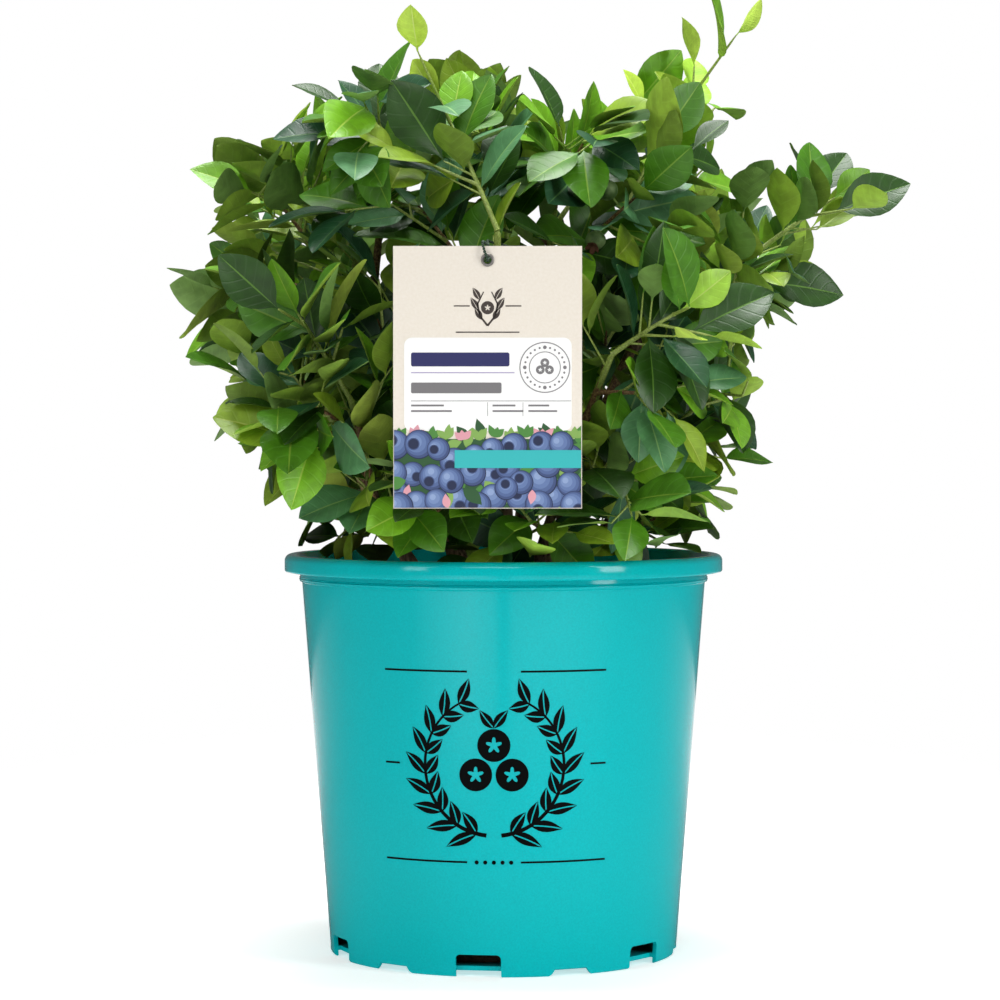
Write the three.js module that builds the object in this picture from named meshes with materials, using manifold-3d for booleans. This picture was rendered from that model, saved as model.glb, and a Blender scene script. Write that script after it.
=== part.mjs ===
// A blueberry bush in a moulded plastic nursery pot, with a hang tag tied to one of its stems.
// Millimetres, +Z up. The origin is the middle of the pot's underside, and the tag hangs on the
// -Y side, which is the front. The bush grows by a seeded rule: stems rise from the potting mix,
// boughs fork from them, and each mass of foliage is one leading twig with side twigs and leaves.

import * as THREE from 'three';
import { mergeVertices } from 'three/addons/utils/BufferGeometryUtils.js';
import Module from 'manifold-3d';

const wasm = await Module();
wasm.setup();

// ---------------------------------------------------------------- driving dimensions

const CLEARANCE = 0.3; // between solids that touch on the real thing

// Pot
const POT_HEIGHT = 218;
const RIM_RADIUS = 120; // outside of the rolled rim
const RIM_BAND = 9.5; // height of the rim's outer band
const RIM_ROUND = 3.5; // rounding of the rim's top edge
const NECK_RADIUS = 111.6; // wall right under the rim
const FOOT_RADIUS = 95.1; // wall at the foot
const FOOT_ROUND = 4;
const WALL = 2.4;
const BEAD_DROP = 4.2; // from the underside of the rim to the bead below it
const BEAD_STANDS = 1.5;
const FLOOR_RISE = 3; // the outer floor stands this far above the ground
const HUB_RADIUS = 62; // the middle of the floor, which stands on the ground
const NOTCHES = 6; // drainage notches round the foot
const NOTCH_WIDTH = 24;
const NOTCH_HEIGHT = 12;
const NOTCH_CORNER = 2.5; // rounding of a notch's upper corners
const FIRST_NOTCH = -8; // degrees from the front, positive towards +X
const ARCH_WIDTH = 30; // shallow arch midway between two notches
const ARCH_HEIGHT = 4;
const ARCH_SLANT = 6; // an arch narrows by this much on each side, up to its top
const ROUND_SIDES = 40;

// Potting mix
const MIX_DEPTH = 24; // from the rim down to the mix
const MIX_TOP = POT_HEIGHT - MIX_DEPTH;
const DRAIN_GAP = 12; // the mix stands back from the wall behind the notches
const MIX_SIDES = 24;

// Hang tag
const TAG_WIDTH = 95;
const TAG_HEIGHT = 132;
const TAG_THICKNESS = 0.9;
const TAG_CENTRE = { x: -8, y: -148, z: 312.5 };
const EYELET_DROP = 7; // from the tag's top edge to the eyelet's middle
const EYELET_RADIUS = 3.4;
const EYELET_BORE = 1.9;
const TIE_RADIUS = 0.8;
const TIE_STEPS = 30;

// Twigs and leaves
const TWIG_RADIUS = 2.2; // at the foot of a leading twig
const TWIG_TIP = 1.3;
const TWIG_SIDES = 3;
const LEADER_ARCH = 0.03; // a leading twig arches up by this share of its length
const LEADER_BARE = 0.3; // and bears no leaf up to this share of it
const SIDE_RADIUS = 0.9; // of a side twig
const SIDE_TWIG = 48; // mean length
const SIDE_MOST = 0.7; // a side twig is at most this share of its leader
const SIDE_BARE = 0.24;
const SIDE_FROM = 0.32; // the first side twig's place along its leader
const SIDE_SPREAD = 0.5; // and the last one's distance from it
const SIDE_ANGLE = 54; // degrees between a side twig and its leader
const SIDE_LIFT = 0.2; // side twigs turn up a little
const GOLDEN_ANGLE = 137.508; // between one leaf or side twig and the next, round the twig
const LEAF_GAP = 14; // between leaves along a twig
const FEWEST_LEAVES = 2; // below the last leaf of a twig
const MOST_LEAVES = 6;
const TIP_ANGLE = 14; // degrees between a twig and its last leaf
const LOW_ANGLE = 62; // and between a twig and a leaf at its foot
const ANGLE_CLOSES = 34; // from the foot to the tip
const ANGLE_VARIES = 16;
const LEAF_ROLL = 80; // degrees that a leaf may turn about its own midrib, from side to side
const LEAF_LIFT = 0.1;
const LEAF_WIDTH = 0.52; // of a leaf's length
const LEAF_VARIES = [0.85, 1.15]; // from the shortest to the longest
const LEAF_DROOP = [0.06, 0.2]; // how far a leaf's tip bends back, as a share of its length
const LEAF_THICKNESS = 1.3; // at the foot of the midrib
const LEAF_FOOT = 0.18; // the midrib is thickest at this share of the leaf
const LEAF_FOLD = 0.2; // the blade's edges rise from its midrib by this share of the width
const YOUNG_SHRINKS = 0.3; // a young leaf is shorter by this share
const TRIES = 3; // turns tried round the twig for a leaf or a side twig that has no room
const TRY_TURN = 2.1; // radians, from one try of a leaf to the next
const TRY_SHRINKS = 0.12;
const TWIG_ROOM = 2.5; // between a side twig and whatever stands there already
const LEAF_ROOM = 1.5; // between a leaf and what other twigs and masses bear
const SISTER_ROOM = 0.3; // between leaves of one mass
const SAME_SPACE = 18; // a leaf reaches at most this far past the border of its own mass's space
const BORDER_SHARES = [0.4, 0.6, 0.8, 1]; // points along a leading twig that mark its mass's space
const BERRY_RADIUS = 5.6;
const BERRY_STALK = 7;
const BERRY_ANGLE = 80;

// The stems, from the potting mix to their tips. bow > 0 rises first and leans later.
const CANES = {
  cane_left_low: { foot: [-38, -26], tip: [-96, -48, 302], bow: -0.1, thick: 4.2 },
  cane_left: { foot: [-22, -4], tip: [-84, -14, 384], bow: 0.16, thick: 4 },
  cane_front: { foot: [-6, -34], tip: [-3, -118, 388], bow: 0.2, thick: 3.4 },
  cane_top: { foot: [6, 6], tip: [28, -2, 408], bow: 0.1, thick: 3.8 },
  cane_right: { foot: [20, 0], tip: [98, -14, 384], bow: 0.18, thick: 4.2 },
  cane_right_low: { foot: [30, -24], tip: [90, -42, 286], bow: 0.02, thick: 3.8 },
  cane_front_right: { foot: [12, -40], tip: [56, -106, 325], bow: 0.1, thick: 3.2 },
  cane_back_left: { foot: [-18, 22], tip: [-76, 80, 352], bow: 0.12, thick: 3.8 },
  cane_back: { foot: [2, 30], tip: [2, 92, 392], bow: 0.14, thick: 3.6 },
  cane_back_right: { foot: [20, 24], tip: [82, 80, 355], bow: 0.12, thick: 3.8 },
};
const CANE_TAPER = 0.5;
const CANE_FLARE = 1.35;
const CANE_SIDES = 7;
const CANE_STEPS = 5;

// The boughs fork from a stem, at this share of its length.
const BOUGHS = {
  bough_left_arm: { from: 'cane_left', at: 0.66, tip: [-98, -30, 378], thick: 2.6 },
  bough_top_left: { from: 'cane_left', at: 0.84, tip: [-62, -54, 428], thick: 2.2 },
  bough_front_left: { from: 'cane_left_low', at: 0.5, tip: [-78, -104, 300], thick: 2.4 },
  bough_right_arm: { from: 'cane_right', at: 0.72, tip: [140, -12, 384], thick: 2.6 },
};
const BOUGH_TAPER = 0.7;
const BOUGH_ARCH = 0.05;
const BOUGH_SIDES = 6;
const BOUGH_STEPS = 4;
const FORK_REACH = 24; // a fork's foot lies at most this far from its parent's axis
const FORK_STEP = 0.02; // and is placed to this much

// The masses of foliage: the limb that each one's stem meets, where along it (1 is its tip), the
// tip of its leading twig, how many side twigs, the leaves' length, and how young its tips are.
const MASSES = {
  left_arm_high: { on: 'bough_left_arm', at: 1, tip: [-124, -44, 412], twigs: 3, leaf: 54, young: 0.2 },
  left_tip_pale: { on: 'bough_left_arm', at: 0.85, tip: [-142, 22, 424], twigs: 2, leaf: 42, young: 0.8 },
  left_arm_mid: { on: 'bough_left_arm', at: 0.5, tip: [-134, -10, 370], twigs: 3, leaf: 50, young: 0.3 },
  left_mid: { on: 'cane_left_low', at: 1, tip: [-132, -16, 330], twigs: 3, leaf: 48, young: 0.3 },
  left_low: { on: 'cane_left_low', at: 0.8, tip: [-126, -40, 300], twigs: 3, leaf: 50, young: 0.2 },
  left_skirt: { on: 'cane_left_low', at: 0.5, tip: [-104, -12, 262], twigs: 3, leaf: 46, young: 0.2 },
  left_rim: { on: 'cane_left_low', at: 0.28, tip: [-84, -2, 238], twigs: 3, leaf: 44, young: 0.3 },
  front_left_high: { on: 'bough_front_left', at: 1, tip: [-106, -112, 346], twigs: 3, leaf: 48, young: 0.6 },
  front_left: { on: 'bough_front_left', at: 0.6, tip: [-100, -106, 300], twigs: 3, leaf: 50, young: 0.4 },
  front_left_low: { on: 'cane_left_low', at: 0.42, tip: [-72, -98, 262], twigs: 3, leaf: 48, young: 0.2 },
  top_left: { on: 'cane_left', at: 1, tip: [-84, -30, 446], twigs: 3, leaf: 48, young: 0.8 },
  front_shoot: { on: 'cane_front', at: 1, tip: [-32, -104, 454], twigs: 3, leaf: 50, young: 0.8 },
  top_mid_left: { on: 'cane_top', at: 0.9, tip: [-30, 26, 448], twigs: 3, leaf: 50, young: 0.3 },
  top_centre: { on: 'cane_top', at: 1, tip: [46, -44, 446], twigs: 3, leaf: 58, young: 0.1 },
  top_leader: { on: 'cane_right', at: 1, tip: [104, -8, 484], twigs: 3, leaf: 46, young: 0.9 },
  top_pale: { on: 'cane_top', at: 0.94, tip: [66, 16, 448], twigs: 3, leaf: 44, young: 0.9 },
  right_arm_high: { on: 'bough_right_arm', at: 1, tip: [180, -16, 412], twigs: 3, leaf: 48, young: 0.6 },
  right_arm_mid: { on: 'bough_right_arm', at: 0.5, tip: [130, -36, 356], twigs: 3, leaf: 46, young: 0.2 },
  right_mid: { on: 'cane_right_low', at: 1, tip: [124, -60, 316], twigs: 3, leaf: 44, young: 0.5 },
  right_low: { on: 'cane_right_low', at: 0.78, tip: [114, -30, 288], twigs: 3, leaf: 48, young: 0.2 },
  right_skirt: { on: 'cane_right_low', at: 0.52, tip: [100, -2, 262], twigs: 3, leaf: 46, young: 0.4 },
  right_rim: { on: 'cane_right_low', at: 0.3, tip: [84, -54, 240], twigs: 3, leaf: 44, young: 0.2 },
  front_right_high: { on: 'cane_front_right', at: 1, tip: [92, -118, 348], twigs: 3, leaf: 50, young: 0.6 },
  front_right: { on: 'cane_front_right', at: 0.85, tip: [80, -112, 304], twigs: 3, leaf: 50, young: 0.2 },
  front_right_low: { on: 'cane_front_right', at: 0.5, tip: [64, -106, 262], twigs: 3, leaf: 48, young: 0.3 },
  front_low: { on: 'cane_front_right', at: 0.28, tip: [14, -102, 238], twigs: 3, leaf: 46, young: 0.4 },
  front_top: { on: 'cane_top', at: 0.8, tip: [72, -84, 410], twigs: 3, leaf: 52, young: 0.1 },
  front_top_left: { on: 'bough_top_left', at: 1, tip: [-56, -92, 436], twigs: 3, leaf: 52, young: 0.4 },
  centre_left: { on: 'cane_left', at: 0.5, tip: [-66, -82, 344], twigs: 3, leaf: 52, young: 0.1 },
  centre_right: { on: 'cane_right', at: 0.5, tip: [54, -82, 338], twigs: 3, leaf: 52, young: 0.1 },
  front_low_left: { on: 'cane_front', at: 0.34, tip: [-40, -98, 240], twigs: 3, leaf: 44, young: 0.4 },
  centre_top: { on: 'cane_front', at: 0.8, tip: [-48, -62, 408], twigs: 3, leaf: 50, young: 0.1 },
  back_left_high: { on: 'cane_back_left', at: 1, tip: [-92, 96, 410], twigs: 3, leaf: 48, young: 0.4 },
  back_left: { on: 'cane_back_left', at: 0.85, tip: [-130, 74, 340], twigs: 3, leaf: 48, young: 0.3 },
  back_left_low: { on: 'cane_back_left', at: 0.5, tip: [-92, 96, 266], twigs: 3, leaf: 46, young: 0.3 },
  back_high: { on: 'cane_back', at: 1, tip: [0, 112, 446], twigs: 3, leaf: 48, young: 0.5 },
  back_mid: { on: 'cane_back', at: 0.8, tip: [10, 148, 352], twigs: 3, leaf: 48, young: 0.3 },
  back_low: { on: 'cane_back', at: 0.45, tip: [0, 124, 268], twigs: 3, leaf: 46, young: 0.3 },
  back_right_high: { on: 'cane_back_right', at: 1, tip: [98, 96, 408], twigs: 3, leaf: 48, young: 0.4 },
  back_right: { on: 'cane_back_right', at: 0.85, tip: [140, 68, 340], twigs: 3, leaf: 48, young: 0.3 },
  back_right_low: { on: 'cane_back_right', at: 0.5, tip: [94, 92, 266], twigs: 3, leaf: 46, young: 0.3 },
};
const BERRIES = { front_top: [0.6, 0.8], right_arm_mid: [0.6] }; // places along the leading twig

// ---------------------------------------------------------------- materials

const plain = (color, roughness, metalness = 0) =>
  new THREE.MeshStandardMaterial({ color, roughness, metalness });
const POT_PLASTIC = plain(0x14aaa8, 0.32);
const MIX_SOIL = plain(0x3a2a1e, 0.95);
const BARK = plain(0x7a6a45, 0.8);
const GREEN_BARK = plain(0x7f8a45, 0.7);
const LEAF = plain(0x3c6b3a, 0.5);
const YOUNG_LEAF = plain(0x7da33f, 0.5);
const CARD = plain(0xf1eadf, 0.6);
const EYELET_METAL = plain(0x50555a, 0.35, 1);
const TIE_CORD = plain(0x2c4a30, 0.6);

// ---------------------------------------------------------------- solids

// A closed geometry as a manifold-3d solid. Only positions matter, with shared corners merged.
function solid(geometry) {
  const bare = geometry.clone();
  bare.deleteAttribute('normal');
  bare.deleteAttribute('uv');
  const merged = mergeVertices(bare, 1e-4);
  return new wasm.Manifold(new wasm.Mesh({
    numProp: 3,
    vertProperties: merged.attributes.position.array,
    triVerts: new Uint32Array(merged.index.array),
  }));
}

function geometryOf(made) {
  const mesh = made.getMesh();
  const geometry = new THREE.BufferGeometry();
  geometry.setAttribute('position', new THREE.BufferAttribute(new Float32Array(mesh.vertProperties), 3));
  geometry.setIndex(new THREE.BufferAttribute(new Uint32Array(mesh.triVerts), 1));
  geometry.computeVertexNormals();
  return geometry;
}

// The largest body of a solid: loose scraps are dropped.
function largest(made) {
  return made.decompose().reduce((best, body) => (body.volume() > best.volume() ? body : best));
}

const bush = new THREE.Group();

function add(name, geometry, material) {
  const mesh = new THREE.Mesh(geometry, material);
  mesh.name = name;
  bush.add(mesh);
}

// A profile of [radius, height] pairs turned round the upright axis.
function turned(profile, sides) {
  const points = profile.map(([radius, height]) => new THREE.Vector2(radius, height));
  return new THREE.LatheGeometry(points, sides).rotateX(Math.PI / 2);
}

// Points on a quarter round, from one angle to another, in degrees.
function round(centre, radius, from, to, steps) {
  return Array.from({ length: steps + 1 }, (_, i) => {
    const angle = THREE.MathUtils.degToRad(from + ((to - from) * i) / steps);
    return [centre[0] + radius * Math.cos(angle), centre[1] + radius * Math.sin(angle)];
  });
}

// ---------------------------------------------------------------- pot

const slope = (NECK_RADIUS - FOOT_RADIUS) / (POT_HEIGHT - FOOT_ROUND);
const wallRadius = (height) => FOOT_RADIUS + slope * (height - FOOT_ROUND);
const RIM_UNDERSIDE = POT_HEIGHT - RIM_BAND;

function potProfile() {
  const bead = RIM_UNDERSIDE - BEAD_DROP;
  const lip = RIM_RADIUS - 2 * RIM_ROUND;
  const inside = (height) => wallRadius(height) - WALL;
  return [
    [0, 0],
    [HUB_RADIUS, 0],
    [HUB_RADIUS + FLOOR_RISE, FLOOR_RISE],
    [FOOT_RADIUS - WALL, FLOOR_RISE],
    [FOOT_RADIUS - WALL - 0.2, 0],
    ...round([FOOT_RADIUS - FOOT_ROUND + 2, FOOT_ROUND - 2], FOOT_ROUND - 2, -90, 0, 1),
    [wallRadius(bead - 1.2), bead - 1.2],
    [wallRadius(bead) + BEAD_STANDS, bead - 0.4],
    [wallRadius(bead) + BEAD_STANDS, bead + 0.8],
    [NECK_RADIUS, bead + 1.6],
    [NECK_RADIUS, RIM_UNDERSIDE],
    [RIM_RADIUS - 1, RIM_UNDERSIDE],
    [RIM_RADIUS, RIM_UNDERSIDE + 1],
    ...round([RIM_RADIUS - RIM_ROUND, POT_HEIGHT - RIM_ROUND], RIM_ROUND, 0, 90, 2),
    [lip, POT_HEIGHT],
    [lip - 1.5, POT_HEIGHT - 1.5],
    [inside(RIM_UNDERSIDE), RIM_UNDERSIDE - 1],
    [inside(FLOOR_RISE + WALL), FLOOR_RISE + WALL],
    [HUB_RADIUS + 1.5, FLOOR_RISE + WALL],
    [HUB_RADIUS - 1.5, WALL],
    [0, WALL],
  ];
}

// A cutter that passes through the wall at the front: an outline across the wall, run inwards.
function footCutter(outline, from, depth) {
  const cutter = new THREE.ExtrudeGeometry(outline, { depth, bevelEnabled: false, curveSegments: 3 });
  cutter.rotateX(Math.PI / 2);
  cutter.translate(0, -from + depth, 0);
  return cutter;
}

function notchOutline() {
  const half = NOTCH_WIDTH / 2;
  const outline = new THREE.Shape();
  outline.moveTo(-half, -1);
  outline.lineTo(half, -1);
  outline.lineTo(half, NOTCH_HEIGHT - NOTCH_CORNER);
  outline.quadraticCurveTo(half, NOTCH_HEIGHT, half - NOTCH_CORNER, NOTCH_HEIGHT);
  outline.lineTo(NOTCH_CORNER - half, NOTCH_HEIGHT);
  outline.quadraticCurveTo(-half, NOTCH_HEIGHT, -half, NOTCH_HEIGHT - NOTCH_CORNER);
  outline.closePath();
  return outline;
}

function archOutline() {
  const half = ARCH_WIDTH / 2;
  const outline = new THREE.Shape();
  outline.moveTo(-half - 1, -1);
  outline.lineTo(half + 1, -1);
  outline.quadraticCurveTo(half - ARCH_SLANT / 2, 0, half - ARCH_SLANT, ARCH_HEIGHT);
  outline.lineTo(ARCH_SLANT - half, ARCH_HEIGHT);
  outline.quadraticCurveTo(ARCH_SLANT / 2 - half, 0, -half - 1, -1);
  outline.closePath();
  return outline;
}

function pot() {
  let made = solid(turned(potProfile(), ROUND_SIDES));
  for (let i = 0; i < NOTCHES; i += 1) {
    const turn = THREE.MathUtils.degToRad(FIRST_NOTCH + (360 / NOTCHES) * i);
    const notch = footCutter(notchOutline(), FOOT_RADIUS + 3, 3 + WALL * 1.9);
    made = made.subtract(solid(notch.rotateZ(turn)));
    const arch = footCutter(archOutline(), FOOT_RADIUS + 3, 4 + WALL);
    made = made.subtract(solid(arch.rotateZ(turn + Math.PI / NOTCHES)));
  }
  return geometryOf(largest(made));
}

// ---------------------------------------------------------------- potting mix

function pottingMix() {
  const inside = (height) => wallRadius(height) - WALL - CLEARANCE;
  const floor = FLOOR_RISE + WALL + CLEARANCE;
  return turned([
    [0, WALL + CLEARANCE],
    [HUB_RADIUS - 2.5, WALL + CLEARANCE],
    [HUB_RADIUS + 1, floor],
    [inside(floor) - DRAIN_GAP, floor],
    [inside(NOTCH_HEIGHT) - DRAIN_GAP, NOTCH_HEIGHT + 2],
    [inside(2 * NOTCH_HEIGHT) - 0.4, 2 * NOTCH_HEIGHT],
    [inside(MIX_TOP) - 0.2, MIX_TOP - 2],
    [inside(MIX_TOP) - 6, MIX_TOP],
    [0, MIX_TOP],
  ], MIX_SIDES);
}

// ---------------------------------------------------------------- tag

// A plate with a round hole near its top, standing upright and facing the front.
function tagCard() {
  const outline = new THREE.Shape();
  const half = TAG_WIDTH / 2;
  outline.moveTo(-half, -TAG_HEIGHT / 2);
  outline.lineTo(half, -TAG_HEIGHT / 2);
  outline.lineTo(half, TAG_HEIGHT / 2);
  outline.lineTo(-half, TAG_HEIGHT / 2);
  outline.closePath();
  const hole = new THREE.Path();
  hole.absarc(0, TAG_HEIGHT / 2 - EYELET_DROP, EYELET_BORE + 0.9, 0, 2 * Math.PI, true);
  outline.holes.push(hole);
  const card = new THREE.ExtrudeGeometry(outline, {
    depth: TAG_THICKNESS,
    bevelEnabled: false,
    curveSegments: 8,
  });
  card.translate(0, 0, -TAG_THICKNESS / 2);
  card.rotateX(Math.PI / 2);
  return card.translate(TAG_CENTRE.x, TAG_CENTRE.y, TAG_CENTRE.z);
}

// A rolled eyelet: a barrel through the hole and a flange on each face of the card.
function tagEyelet() {
  const face = TAG_THICKNESS / 2 + CLEARANCE;
  const barrel = EYELET_BORE + 0.6;
  const profile = [
    [EYELET_BORE, -face - 0.7],
    [EYELET_RADIUS, -face - 0.4],
    [EYELET_RADIUS, -face],
    [barrel, -face],
    [barrel, face],
    [EYELET_RADIUS, face],
    [EYELET_RADIUS, face + 0.4],
    [EYELET_BORE, face + 0.7],
    [EYELET_BORE, -face - 0.7],
  ];
  const eyelet = turned(profile, 12);
  eyelet.rotateX(Math.PI / 2);
  const { x, y, z } = TAG_CENTRE;
  return eyelet.translate(x, y, z + TAG_HEIGHT / 2 - EYELET_DROP);
}

// The tie is one loop: through the eyelet, up over the card's top edge, and round a stem behind.
function tieRoute() {
  const { x, y } = TAG_CENTRE;
  const hole = TAG_CENTRE.z + TAG_HEIGHT / 2 - EYELET_DROP;
  const top = TAG_CENTRE.z + TAG_HEIGHT / 2;
  const stem = pointOn(limbs.cane_front.curve, 0.97);
  const behind = stem.y + limbs.cane_front.tipRadius + 2.6;
  return new THREE.CatmullRomCurve3([
    new THREE.Vector3(x, y - 2.6, hole + 0.4),
    new THREE.Vector3(x - 1.6, y - 2.4, top - 2.6),
    new THREE.Vector3(x - 2.6, y, top + 1.8),
    new THREE.Vector3(stem.x - 4.8, (y + stem.y) / 2, top + 1.6),
    new THREE.Vector3(stem.x - 4.6, stem.y + 0.4, stem.z + 0.8),
    new THREE.Vector3(stem.x, behind, stem.z - 0.6),
    new THREE.Vector3(stem.x + 4.6, stem.y + 0.4, stem.z - 2),
    new THREE.Vector3(x + 2.4, (y + stem.y) / 2, (hole + stem.z) / 2 - 2),
    new THREE.Vector3(x, y + 4, hole),
    new THREE.Vector3(x, y, hole),
  ], true, 'centripetal');
}

function tagTie() {
  const section = new THREE.Shape();
  section.absarc(0, 0, TIE_RADIUS, 0, 2 * Math.PI);
  const options = { steps: TIE_STEPS, extrudePath: tieRoute(), curveSegments: 3 };
  return new THREE.ExtrudeGeometry(section, options);
}

// ---------------------------------------------------------------- growing rule

const UP = new THREE.Vector3(0, 0, 1);
const radians = THREE.MathUtils.degToRad;
const vector = (point) => new THREE.Vector3(...point);
const pointOn = (curve, share) => curve.getPoint(share);
const mix = (a, b, share) => a + (b - a) * share;

// Chance between 0 and 1 that depends only on a seed and the number of the draw.
function chance(seed, draw) {
  let bits = (Math.imul(seed, 374761393) + Math.imul(draw, 668265263)) | 0;
  bits = Math.imul(bits ^ (bits >>> 13), 1274126177);
  return ((bits ^ (bits >>> 16)) >>> 0) / 4294967296;
}

// Two directions square to a way, the first of them level.
function squareTo(way) {
  const level = new THREE.Vector3().crossVectors(way, UP);
  level.x += 1e-6;
  level.normalize();
  return [level, new THREE.Vector3().crossVectors(level, way)];
}

// A direction that leaves a way at an angle, turned round it.
function leaving(way, angle, turn) {
  const [level, other] = squareTo(way);
  const out = level.multiplyScalar(Math.cos(turn)).addScaledVector(other, Math.sin(turn));
  return way.clone().multiplyScalar(Math.cos(angle)).addScaledVector(out, Math.sin(angle)).normalize();
}

function limb(foot, middle, tip, footRadius, tipRadius) {
  return { curve: new THREE.QuadraticBezierCurve3(foot, middle, tip), footRadius, tipRadius };
}

// A cylinder of a few sides bent along a curve, tapering. A flat foot lies level.
function bent({ curve, footRadius, tipRadius }, sides, steps, flare = 1, flatFoot = false) {
  const tube = new THREE.CylinderGeometry(1, 1, 1, sides, steps);
  const place = tube.attributes.position;
  const chord = pointOn(curve, 1).sub(pointOn(curve, 0)).normalize();
  const guide = Math.abs(chord.z) < 0.8 ? UP : new THREE.Vector3(1, 0, 0);
  for (let i = 0; i < place.count; i += 1) {
    const share = place.getY(i) + 0.5;
    const centre = pointOn(curve, share);
    const along = curve.getTangent(share);
    const level = new THREE.Vector3().crossVectors(along, guide).normalize();
    const other = new THREE.Vector3().crossVectors(level, along);
    const radius = mix(footRadius, tipRadius, share) * (share < 0.5 / steps ? flare : 1);
    const spot = centre.clone().addScaledVector(level, place.getX(i) * radius);
    spot.addScaledVector(other, place.getZ(i) * radius);
    if (flatFoot && share < 0.5 / steps) spot.z = centre.z;
    place.setXYZ(i, spot.x, spot.y, spot.z);
  }
  return tube;
}

// ---- what stands where: points, edges and faces that a new twig or leaf must stay clear of

function space(points, edges, faces, radius, owner) {
  const box = new THREE.Box3().setFromPoints(points);
  const ball = box.getBoundingSphere(new THREE.Sphere());
  const lines = edges.map(([a, b]) => new THREE.Line3(points[a], points[b]));
  const triangles = faces.map(([a, b, c]) => new THREE.Triangle(points[a], points[b], points[c]));
  return { points, lines, triangles, radius, owner, ball };
}

function spaceAlong(part, from, to, steps, owner) {
  const points = [];
  const edges = [];
  for (let i = 0; i <= steps; i += 1) {
    points.push(pointOn(part.curve, mix(from, to, i / steps)));
    if (i) edges.push([i - 1, i]);
  }
  return space(points, edges, [], mix(part.footRadius, part.tipRadius, (from + to) / 2), owner);
}

const nearest = new THREE.Vector3();
const ray = new THREE.Ray();

function passesThrough(line, triangle) {
  ray.origin.copy(line.start);
  line.delta(ray.direction);
  const length = ray.direction.length();
  ray.direction.divideScalar(length);
  const hit = ray.intersectTriangle(triangle.a, triangle.b, triangle.c, false, nearest);
  return hit !== null && line.start.distanceTo(hit) < length;
}

// Whether two spaces come closer than a gap.
function meet(a, b, gap) {
  const reach = gap + a.radius + b.radius;
  if (a.ball.center.distanceTo(b.ball.center) > a.ball.radius + b.ball.radius + reach) return false;
  for (const one of a.lines) {
    for (const other of b.lines) if (one.distanceSqToLine3(other) < reach * reach) return true;
  }
  for (const [from, onto] of [[a, b], [b, a]]) {
    for (const triangle of onto.triangles) {
      for (const line of from.lines) if (passesThrough(line, triangle)) return true;
      for (const point of from.points) {
        triangle.closestPointToPoint(point, nearest);
        if (nearest.distanceTo(point) < reach) return true;
      }
    }
  }
  return false;
}

// ---- limbs

// One space for each face of a geometry.
function surfaceSpaces(geometry) {
  const place = geometry.attributes.position;
  const corner = (i) => new THREE.Vector3().fromBufferAttribute(place, geometry.index.getX(i));
  const faces = [];
  for (let i = 0; i < geometry.index.count; i += 3) {
    const points = [corner(i), corner(i + 1), corner(i + 2)];
    if (points[0].distanceTo(points[1]) < 1e-3 || points[1].distanceTo(points[2]) < 1e-3) continue;
    faces.push(space(points, [[0, 1], [1, 2], [2, 0]], [[0, 1, 2]], 0));
  }
  return faces;
}

// A limb or twig that leaves a parent at a share of its length, arching up by a share of its own.
// Its foot is drawn back towards the parent until it stands the clearance from its surface.
function branch(parent, share, tip, arch, { foot, end, sides }) {
  const root = pointOn(parent.curve, share);
  const lift = new THREE.Vector3(0, 0, arch * root.distanceTo(tip));
  const middle = root.clone().add(tip).multiplyScalar(0.5).add(lift);
  const way = middle.clone().sub(root).normalize();
  const near = parent.surface.filter(({ ball }) => ball.center.distanceTo(root) < 2 * FORK_REACH);
  const grown = (out) => limb(root.clone().addScaledVector(way, out), middle, tip, foot, end);
  const touches = (out) => surfaceSpaces(bent(grown(out), sides, 1)).some(
    (face) => near.some((other) => meet(face, other, CLEARANCE)),
  );
  let inside = 0;
  let outside = FORK_REACH;
  while (outside - inside > FORK_STEP) {
    const half = (inside + outside) / 2;
    if (touches(half)) inside = half;
    else outside = half;
  }
  return grown(outside);
}

const limbs = {};
for (const [name, { foot, tip, bow, thick }] of Object.entries(CANES)) {
  const start = vector([...foot, MIX_TOP + CLEARANCE]);
  const end = vector(tip);
  const flat = end.clone().sub(start).setZ(0);
  const middle = start.clone().add(end).multiplyScalar(0.5).addScaledVector(flat, -bow);
  limbs[name] = limb(start, middle, end, thick, thick * CANE_TAPER);
  limbs[name].solid = bent(limbs[name], CANE_SIDES, CANE_STEPS, CANE_FLARE, true);
  limbs[name].surface = surfaceSpaces(limbs[name].solid);
}
for (const [name, { from, at, tip, thick }] of Object.entries(BOUGHS)) {
  const shape = { foot: thick, end: thick * BOUGH_TAPER, sides: BOUGH_SIDES };
  limbs[name] = branch(limbs[from], at, vector(tip), BOUGH_ARCH, shape);
  limbs[name].solid = bent(limbs[name], BOUGH_SIDES, BOUGH_STEPS);
  limbs[name].surface = surfaceSpaces(limbs[name].solid);
}

const standing = [];
const CHUNKS = 6; // spaces along each limb
for (const [name, part] of Object.entries(limbs)) {
  for (let i = 0; i < CHUNKS; i += 1) {
    standing.push(spaceAlong(part, i / CHUNKS, (i + 1) / CHUNKS, 2, name));
  }
}
function tagSpace() {
  const { x, y, z } = TAG_CENTRE;
  const [w, h] = [TAG_WIDTH / 2, TAG_HEIGHT / 2];
  const corners = [[-w, -h], [w, -h], [w, h], [-w, h]].map(([a, b]) => vector([x + a, y, z + b]));
  return space(corners, [[0, 1], [1, 2], [2, 3], [3, 0]], [[0, 1, 2], [0, 2, 3]], 2, 'tag');
}
standing.push(tagSpace());
standing.push(spaceAlong({ curve: tieRoute(), footRadius: 1, tipRadius: 1 }, 0, 1, 20, 'tie'));

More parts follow.
